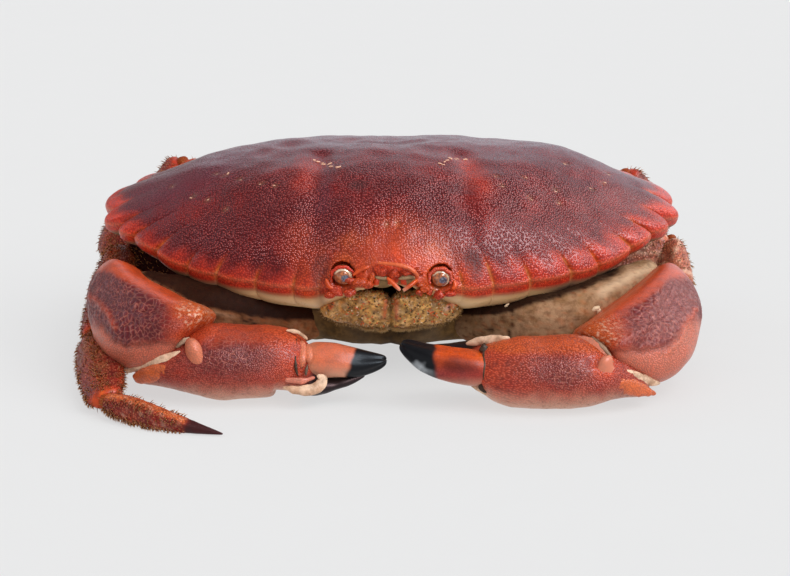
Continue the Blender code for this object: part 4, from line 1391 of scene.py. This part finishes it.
# Lips and membranes in the claws' joints: path, size, and how dark each is
LIPS = {
    "left": (
        (((-72, -57, 7.8), (-65.4, -61.8, 11.2), (-60.5, -64.8, 13.5), (-56, -65.6, 15.8)), 2.2, 0),
        (((-58, -64, 16.4), (-55.6, -65.4, 18.4), (-53.6, -65.6, 19.8)), 0.9, 0.5),
        (((-28, -59.4, 20), (-24.6, -60.4, 19.7), (-22.4, -61.4, 18)), 0.8, 0),
        (((-25.2, -61.8, 18.4), (-25.4, -65.6, 14.4), (-25.2, -67, 11), (-24.6, -66.8, 9)), 0.45, 1),
        (((-22.2, -65.4, 12.4), (-22.6, -66.6, 10.6), (-22.6, -66.6, 9.4)), 0.7, 0.9),
        (
            ((-28.8, -66.6, 6.2), (-24, -67.2, 5.4), (-19.8, -66.2, 5.9), (-18.3, -65.6, 8),
             (-19.4, -65.4, 9.4)), 2.4, 0,
        ),
    ),
    "right": (
        (((59, -71, 13), (63.5, -69.4, 10.6), (68.4, -65, 7.6), (73, -60.6, 5.4)), 2.2, 0),
        (((53.6, -66.6, 20.4), (57, -70, 17.6), (59, -71.8, 14.6)), 0.8, 0.45),
        (((20.4, -60.6, 16.6), (25.6, -63.2, 18.4), (32, -64.6, 19.2)), 1.8, 0),
        (((25.2, -62.6, 18), (25, -68.6, 15), (25, -70.7, 10.4), (25.2, -69.2, 6)), 0.8, 0.95),
        (((21.6, -67.4, 7), (25, -68, 5.4), (29, -69, 4)), 1.2, 0.1),
    ),
}


def knob_pile(side):
    """The knob and raised edges at the claw's joints."""
    pile = Pile()
    place, size, axis, lumps, looks = KNOBS[side]
    pile.blob(place, size, axis, lumps, 1, **looks)
    for i, (path, size, amber, pale) in enumerate(EDGES[side]):
        wide = [size * 0.8, size, size * 0.8, size * 0.3]
        flat = [share * 0.6 for share in wide]
        # Each is sunk a little into the claw
        sunk = np.add(path, (0, 0.7, 0))
        pile.strip(sunk, flat, wide, 0.35, i, amber=amber, pale=pale + 0.1, warm=0.9, grain=0.4)
    return pile


def membrane_pile(side):
    """Cream lips and pale membrane in the claw's joints."""
    pile = Pile()
    for i, (path, size, dark) in enumerate(LIPS[side]):
        wide = [size * 0.35, size * 0.65, size * 0.65, size * 0.35]
        flat = [share * 0.6 for share in wide] if size > 1.7 else wide
        pile.strip(path, flat, wide, 0.3, i, dark=dark)
    if side == "right":
        for place, size in (((24.9, -66.6, 16.9), (1.2, 0.8, 1.3)), ((25, -69.4, 7.6), (1.5, 1, 2))):
            pile.blob(place, size, (1, 0, 0), 0.4, place[2], dark=1)
    return pile


# Legs ----------

# Where each leg's pieces end: hip, the ends of the thigh, knee and shank, and the toe's tip
LEG_ROUTES = {
    "leg1_left": ((-47, 2, 16), (-80, 2, 28), (-83, -33, 10.5), (-75.5, -73, 4.3), (-43, -90.3, 0.6)),
    "leg2_left": ((-48, 14, 18), (-80, 22, 34), (-86, 26, 20), (-66, 26, 6), (-38, 22, 0.6)),
    "leg3_left": ((-42, 24, 19), (-64.5, 40, 47), (-75, 46, 29), (-63, 49, 8), (-36, 46, 0.6)),
    "leg4_left": ((-35, 31, 20), (-50, 60, 38), (-60, 66, 24), (-46, 68, 6), (-20, 60, 0.6)),
    "leg1_right": ((47, 2, 16), (83, 5, 30), (85, -7, 13), (66, -12, 4), (38, -16, 0.6)),
    "leg2_right": ((48, 14, 18), (71, 25.5, 46), (83, 33, 26), (68, 33, 7), (40, 28, 0.6)),
    "leg3_right": ((42, 24, 19), (64, 45, 39), (72, 51, 26), (58, 53, 7), (32, 48, 0.6)),
    "leg4_right": ((35, 31, 20), (48, 63, 36), (58, 69, 22), (42, 70, 6), (16, 62, 0.6)),
}
LEG_SIZES = {
    "thigh": ([6.5, 7, 6.2], [3.8, 4.5, 4.2]),
    "knee": ([5.2, 5.8, 5.4], [4, 4.6, 4.4]),
    "shank": ([6, 6.4, 5], [4.2, 4.4, 3.6]),
    "toe": ([3.4, 3.4, 1.9, 0.4], [3.1, 3.1, 1.8, 0.4]),
}
NEAREST_LEG = "leg1_left"
PALE_LEG = "leg1_right"
# Each joint's place on a leg's route, and its size
JOINTS = ((1, 2.55), (2, 2.944), (3, 2.208))
# The bright bare edge of the nearest toe, seen from the front, and how the toe bows
TOE_EDGE = ((-78.6, -12.4), (-69.9, -12.6), (-61, -15.2), (-52.8, -18.7))
TOE_BOW = (0, -3, 0.3)


def leg_skins(leg):
    """A leg's four pieces by name."""
    route = [np.array(place, float) for place in LEG_ROUTES[leg]]
    is_nearest = leg == NEAREST_LEG
    kind, broad = ("near leg", (1, 0, 0.4)) if is_nearest else ("leg", UP)
    pieces = {}
    for part, start, end in zip(LEG_SIZES, route, route[1:]):
        step = unit(end - start) * 0.3
        sag = np.array([0, 0, -3 if part == "thigh" else 0])
        if part == "toe" and is_nearest:
            sag = np.array(TOE_BOW)
        path = [start + step, (start + end) / 2 + sag, end - step]
        skin = limb_skin(kind, path, *LEG_SIZES[part], broad, 4)
        s = skin.share
        # Four blunt ridges run along each piece, with hollows between
        keel = np.cos(skin.turn * 2) ** 2
        away = smooth(s, 0, 0.12) * smooth(s, 1, 0.88)
        pitted = skin.rough(1.5, 5)
        lumps = skin.rough(4, 1)
        nail = 0
        if part == "toe":
            ridges = (0.5 * keel - 0.3) * away * smooth(s, 0.8, 0.6)
            skin.raise_by(ridges + 0.15 * pitted * smooth(s, 0.8, 0.7))
            nail = smooth(s, 0.66, 0.7)
            edge = smooth(keel, 0.6, 1) * 0.8
            if is_nearest:
                edge = np.minimum(1.2 * stroke(skin.flat, TOE_EDGE, 0.9), 1)
            skin.paint(
                amber=edge * (1 - nail),
                pale=(0.06 * edge + 0.3 * smooth(pitted, 0.2, 0.5)) * (1 - nail),
                warm=0.2 + 0.8 * edge + 0.2 * lumps,
                plum=nail + 0.6 * (1 - edge),
                black=0.85 * nail,
            )
        else:
            skin.raise_by((0.6 * keel - 0.3) * away + 0.22 * pitted + 0.25 * lumps)
            ends = 0.25 * smooth(s, 0.86, 0.97)
            skin.paint(warm=0.2 + 0.35 * lumps + ends + 0.25 * smooth(s, 0.12, 0.03))
            if leg == PALE_LEG:
                pale = 0.15 + 0.6 * smooth(lumps + pitted, -0.2, 0.3)
                skin.paint(warm=0.3, amber=0.3 + 0.6 * smooth(pitted, 0, 0.4), pale=pale)
            else:
                skin.paint(plum=smooth(keel, 0.5, 0.1) * 0.6 * away)
            crests = 0.3 * smooth(keel, 0.8, 1) * smooth(lumps, 0, 0.4)
            skin.paint(amber=0.25 * smooth(s, 0.9, 0.98) + crests)
            # The nearest thigh's inner front lies under the rim and is painted dark: painted shade.
            if part == "thigh" and is_nearest:
                skin.paint(dark=smooth(skin.base[..., 0], -79, -76) * smooth(skin.base[..., 1], 3, 0))
        skin.paint(grain=0.9 * away * (1 - 0.85 * nail), dark=smooth(pitted, -0.2, -0.6) * 0.4)
        stay_above_ground(skin.points)
        pieces[part] = skin
    return pieces


def joint_pile(leg):
    """Pale membrane showing between a leg's pieces."""
    pile = Pile()
    route = LEG_ROUTES[leg]
    for i, size in JOINTS:
        axis = np.subtract(route[i + 1], route[i - 1])
        sizes = (size, size * 0.85, size * 0.85)
        pile.blob(route[i], sizes, axis, 0.3, i, amber=0.3, warm=0.35, dark=0.35)
    return pile


# Settings ----------


def colour(name, description, default):
    return bpy.props.FloatVectorProperty(
        name=name, description=description, default=default, size=3, min=0, max=1, subtype="COLOR"
    )


def length(name, description, default, least):
    return bpy.props.FloatProperty(
        name=name, description=description, default=default * MM, min=least * MM, unit="LENGTH", precision=5
    )


def factor(name, description, default, most):
    return bpy.props.FloatProperty(
        name=name, description=description, default=default, min=0, max=most, subtype="FACTOR"
    )


def strength(name, description, default):
    return bpy.props.FloatProperty(name=name, description=description, default=default, min=0)


class CrabColours(bpy.types.PropertyGroup):
    maroon: colour("Maroon", "Ground colour of the carapace", (0.115, 0.003, 0.005))
    brick: colour("Brick", "Lighter drifts on the carapace", (0.26, 0.008, 0.004))
    shell: colour("Shell", "Ground colour of claws and legs", (0.36, 0.055, 0.025))
    coral: colour("Coral", "Rim, face and edges", (0.66, 0.042, 0.014))
    amber: colour("Amber", "Fissures, granular corners and upper edges", (0.7, 0.12, 0.008))
    plum: colour("Plum", "Dark wrinkled areas", (0.12, 0.012, 0.016))
    # Violet is partly the shell's own greyish tone and partly painted: sheen on the carapace's back and
    # flanks and on the wrists' outer facets, shade on the right finger's lower side.
    violet: colour("Violet", "Greyish back of the shell", (0.13, 0.02, 0.035))
    line: colour("Net line", "Pale lines between wrinkles", (0.5, 0.15, 0.1))
    granule: colour("Granule", "Tops of the fine granules", (0.64, 0.1, 0.075))
    cream: colour("Cream", "Pale specks and fissures of the carapace", (0.76, 0.5, 0.24))
    tan: colour("Tan", "Shaded underside", (0.21, 0.11, 0.03))
    black: colour("Black", "Finger tips and nails", (0.006, 0.005, 0.006))


class CrabSizes(bpy.types.PropertyGroup):
    granule: length("Granule spacing", "Distance between carapace granules", 0.63, 0.2)
    net_cell: length("Wrinkle size", "Width of the wrinkles on the wrists", 2.2, 0.5)
    bristle: length("Bristle length", "Length of the hairs along the legs", 1.7, 0.2)
    lobes: factor("Lobe depth", "How far the rim's lobes stand out, as a share", 1, 2)
    wetness: factor("Wetness", "Strength of the shell's reflections", 0.45, 1)


class CrabStage(bpy.types.PropertyGroup):
    floor: colour("Floor", "Colour of the table", (0.2, 0.2, 0.2))
    glow: strength("Floor glow", "Light that the lit table gives out", 0.6)
    ambient: strength("Ambient light", "Strength of the light from all round", 0.32)
    overhead: strength("Overhead light", "Strength of the broad light above and behind", 0.62)
    key: strength("Key light", "Strength of the light from the front right", 2)
    sheen: strength("Sheen light", "Strength of the light that only shows in reflections", 5.4)
    side: strength("Side light", "Strength of the light from behind on the right", 2.1)
    fill: strength("Left light", "Strength of the faint light from the left", 0.5)
    front: strength("Front light", "Strength of the broad light from the front", 1.4)


# Operators ----------


class CRAB_OT_carapace(bpy.types.Operator):
    """Build the carapace with its lobes, furrows and eye sockets"""

    bl_idname = "crab.carapace"
    bl_label = "Carapace"

    def execute(self, context):
        skin, plan = carapace_skin(context.scene.crab_sizes)
        skin.place("shell_top", "carapace_finish", "carapace_shell", "carapace")
        flecks = fleck_pile(skin, plan, np.random.default_rng(FLECK_SEED))
        flecks.place("shell_flecks", "claw_finish", "carapace_shell")
        return {"FINISHED"}


class CRAB_OT_face(bpy.types.Operator):
    """Build the eyes, brow, feelers and mouth"""

    bl_idname = "crab.face"
    bl_label = "Face"

    def execute(self, context):
        rng = np.random.default_rng(FACE_SEED)
        for side, place in zip(SIDES, EYE_PLACES):
            eye_skin(place).place(f"eyeball_{side}", "eye_wet", "eye", f"eye_{side}")
        brow_pile().place("brow_knobs", "claw_finish", "carapace_shell")
        orbit_pile().place("orbit_rims", "claw_finish", "carapace_shell")
        hood_pile().place("brow_hollows", "belly_flesh", "belly")
        for name in FEELERS:
            feeler_skin(name).place(f"{name}_rod", "claw_finish", "feeler", name)
        for side in SIDES:
            skin = mouth_skin(side)
            skin.place(f"mouth_{side}", "mouth_fuzz", "mouth", f"mouth_plate_{side}")
            hair = Pile()
            front = skin.points[..., 1] < -40
            hair.bristles(skin, front, MOUTH_HAIRS, 1.3, 0.05, 0.5, rng)
            fringe = front * smooth(skin.points[..., 2], 17, 14)
            hair.bristles(skin, fringe, FRINGE_HAIRS, 1.4, 0.06, 0.5, rng)
            hair.place(f"mouth_hair_{side}", "gold_bristle", "mouth")
            crust_pile(skin, rng).place(f"mouth_crust_{side}", "mouth_fuzz", "mouth")
        return {"FINISHED"}


class CRAB_OT_belly(bpy.types.Operator):
    """Build the belly, tail and upper arms"""

    bl_idname = "crab.belly"
    bl_label = "Belly and arms"

    def execute(self, context):
        thorax_skin().place("belly_plates", "belly_flesh", "belly", "thorax")
        tail_skin().place("tail_flap", "belly_flesh", "belly", "tail")
        for side in SIDES:
            arm_skin(side).place(f"upper_arm_{side}", "arm_flesh", "belly", f"arm_{side}")
        flake_pile().place("dried_flakes", "joint_membrane", "belly")
        return {"FINISHED"}


class CRAB_OT_claws(bpy.types.Operator):
    """Build both claws"""

    bl_idname = "crab.claws"
    bl_label = "Claws"

    def execute(self, context):
        net_cell = context.scene.crab_sizes.net_cell / MM
        for side in SIDES:
            wrist = wrist_skin(side, net_cell)
            wrist.place(f"claw_wrist_{side}", "claw_finish", "claw_shell", f"wrist_{side}")
            palm_skin(side).place(f"claw_palm_{side}", "claw_finish", "claw_shell", f"palm_{side}")
            finger = finger_skin(side)
            finger.place(f"claw_finger_{side}", "finger_finish", "claw_finger", f"finger_{side}")
            knob_pile(side).place(f"claw_knobs_{side}", "claw_finish", "claw_shell")
            membrane_pile(side).place(f"claw_membrane_{side}", "joint_membrane", "claw_shell")
        return {"FINISHED"}


class CRAB_OT_legs(bpy.types.Operator):
    """Build the eight walking legs with their bristles"""

    bl_idname = "crab.legs"
    bl_label = "Legs"

    def execute(self, context):
        rng = np.random.default_rng(LEG_SEED)
        hair_length = context.scene.crab_sizes.bristle / MM * 0.85
        for leg in LEG_ROUTES:
            hair = Pile()
            for part, skin in leg_skins(leg).items():
                skin.place(f"{leg}_{part}_shell", "leg_finish", "leg_shell", f"{leg}_{part}")
                s = skin.share
                keel = np.cos(skin.turn * 2) ** 4 * smooth(s, 0.04, 0.1) * smooth(s, 0.98, 0.9)
                chances = (keel + 0.15) * smooth(s, 0.7, 0.62) if part == "toe" else keel + 0.2
                count = LEG_HAIRS
                if leg == NEAREST_LEG:
                    count = NEAR_TOE_HAIRS if part == "toe" else NEAR_LEG_HAIRS
                    chances = chances * (1 - stroke(face_on(skin.points), TOE_EDGE, 1.3))
                hair.bristles(skin, chances, count, hair_length, 0.12, 0.7, rng)
            tone = "gold_bristle" if leg == PALE_LEG else "dark_bristle"
            hair.place(f"{leg}_bristles", tone, "leg_shell")
            joint_pile(leg).place(f"{leg}_joints", "belly_flesh", "belly")
        return {"FINISHED"}


class CRAB_OT_stage(bpy.types.Operator):
    """Set up the pale floor, the soft lights and the camera"""

    bl_idname = "crab.stage"
    bl_label = "Stage"

    def execute(self, context):
        scene = context.scene
        stage = scene.crab_stage
        board, shader = new_surface("floor_paper")
        speck = board.slope(board.noise(60), 0, 1, 0.01)
        board.feed(shader["Base Color"], board.mix(speck, stage.floor, (0.7, 0.7, 0.7)))
        board.feed(shader["Emission Color"], (1, 1, 1))
        board.feed(shader["Emission Strength"], stage.glow)
        board.feed(shader["Roughness"], 1)
        board.feed(shader["Specular IOR Level"], 0)
        mesh = bpy.data.meshes.new("floor")
        corners = [(x * FLOOR_HALF, y * FLOOR_HALF, 0) for x, y in ((-1, -1), (1, -1), (1, 1), (-1, 1))]
        mesh.from_pydata(corners, [], [(0, 1, 2, 3)])
        mesh.materials.append(bpy.data.materials["floor_paper"])
        floor = bpy.data.objects.new("floor", mesh)
        scene.collection.objects.link(floor)

        world = bpy.data.worlds.new("studio")
        world.use_nodes = True
        background = world.node_tree.nodes["Background"]
        background.inputs["Color"].default_value = (1, 1, 1, 1)
        background.inputs["Strength"].default_value = stage.ambient
        scene.world = world
        cool = (0.76, 0.87, 1)
        white = (1, 1, 1)
        # Each light's strength, angle, direction and colour, and whether matt and wet surfaces show it
        lights = (
            ("overhead", stage.overhead, 55, (0.2, 0.9, 0.38), cool, True, True),
            ("key", stage.key, 60, (0.6, -0.42, 0.65), white, True, False),
            ("sheen", stage.sheen, 36, (0.52, -0.6, 0.52), white, False, True),
            ("side", stage.side, 50, (0.8, 0.3, 0.5), white, False, True),
            ("left", stage.fill, 44, (-0.85, 0.3, 0.42), cool, True, True),
            ("front", stage.front, 130, (0.05, -0.93, 0.4), white, True, False),
        )
        for name, strength, angle, direction, colour, in_matt, in_wet in lights:
            light = bpy.data.lights.new(name, "SUN")
            light.energy = strength
            light.color = colour
            light.angle = math.radians(angle)
            lamp = bpy.data.objects.new(name, light)
            lamp.visible_diffuse = in_matt
            lamp.visible_glossy = in_wet
            lamp.rotation_euler = Vector(direction).to_track_quat("Z", "Y").to_euler()
            scene.collection.objects.link(lamp)

        scene.view_settings.view_transform = "Standard"
        look_at = ORIGIN + np.array(VIEW_MIDDLE) * MM
        elevation = math.radians(VIEW_RISE)
        camera = bpy.data.objects.new("camera", bpy.data.cameras.new("camera"))
        away = np.array([0, -math.cos(elevation), math.sin(elevation)]) * (VIEW_DISTANCE * MM)
        camera.location = look_at + away
        camera.rotation_euler = (math.pi / 2 - elevation, 0, 0)
        camera.data.lens = VIEW_LENS
        camera.data.clip_start = 0.01
        scene.collection.objects.link(camera)
        scene.camera = camera
        return {"FINISHED"}


class CRAB_PT_panel(bpy.types.Panel):
    """The crab's sizes, colours and pieces"""

    bl_idname = "CRAB_PT_panel"
    bl_label = "Cooked Crab"
    bl_space_type = "VIEW_3D"
    bl_region_type = "UI"
    bl_category = "Crab"

    def draw(self, context):
        for settings in ("crab_sizes", "crab_colours", "crab_stage"):
            group = getattr(context.scene, settings)
            box = self.layout.box()
            for name in group.bl_rna.properties.keys():
                if name not in ("rna_type", "name"):
                    box.prop(group, name)
        for operator in OPERATORS:
            self.layout.operator(operator.bl_idname)


SETTINGS = {"crab_colours": CrabColours, "crab_sizes": CrabSizes, "crab_stage": CrabStage}
OPERATORS = (
    CRAB_OT_carapace, CRAB_OT_face, CRAB_OT_belly, CRAB_OT_claws, CRAB_OT_legs, CRAB_OT_stage,
)


def register():
    for made in (*SETTINGS.values(), *OPERATORS, CRAB_PT_panel):
        bpy.utils.register_class(made)
    for name, settings in SETTINGS.items():
        setattr(bpy.types.Scene, name, bpy.props.PointerProperty(type=settings))


def unregister():
    for name in SETTINGS:
        delattr(bpy.types.Scene, name)
    for made in (CRAB_PT_panel, *OPERATORS[::-1], *SETTINGS.values()):
        bpy.utils.unregister_class(made)


def main():
    register()
    bpy.ops.crab.carapace()
    bpy.ops.crab.face()
    bpy.ops.crab.belly()
    bpy.ops.crab.claws()
    bpy.ops.crab.legs()
    bpy.ops.crab.stage()


if __name__ == "__main__":
    main()
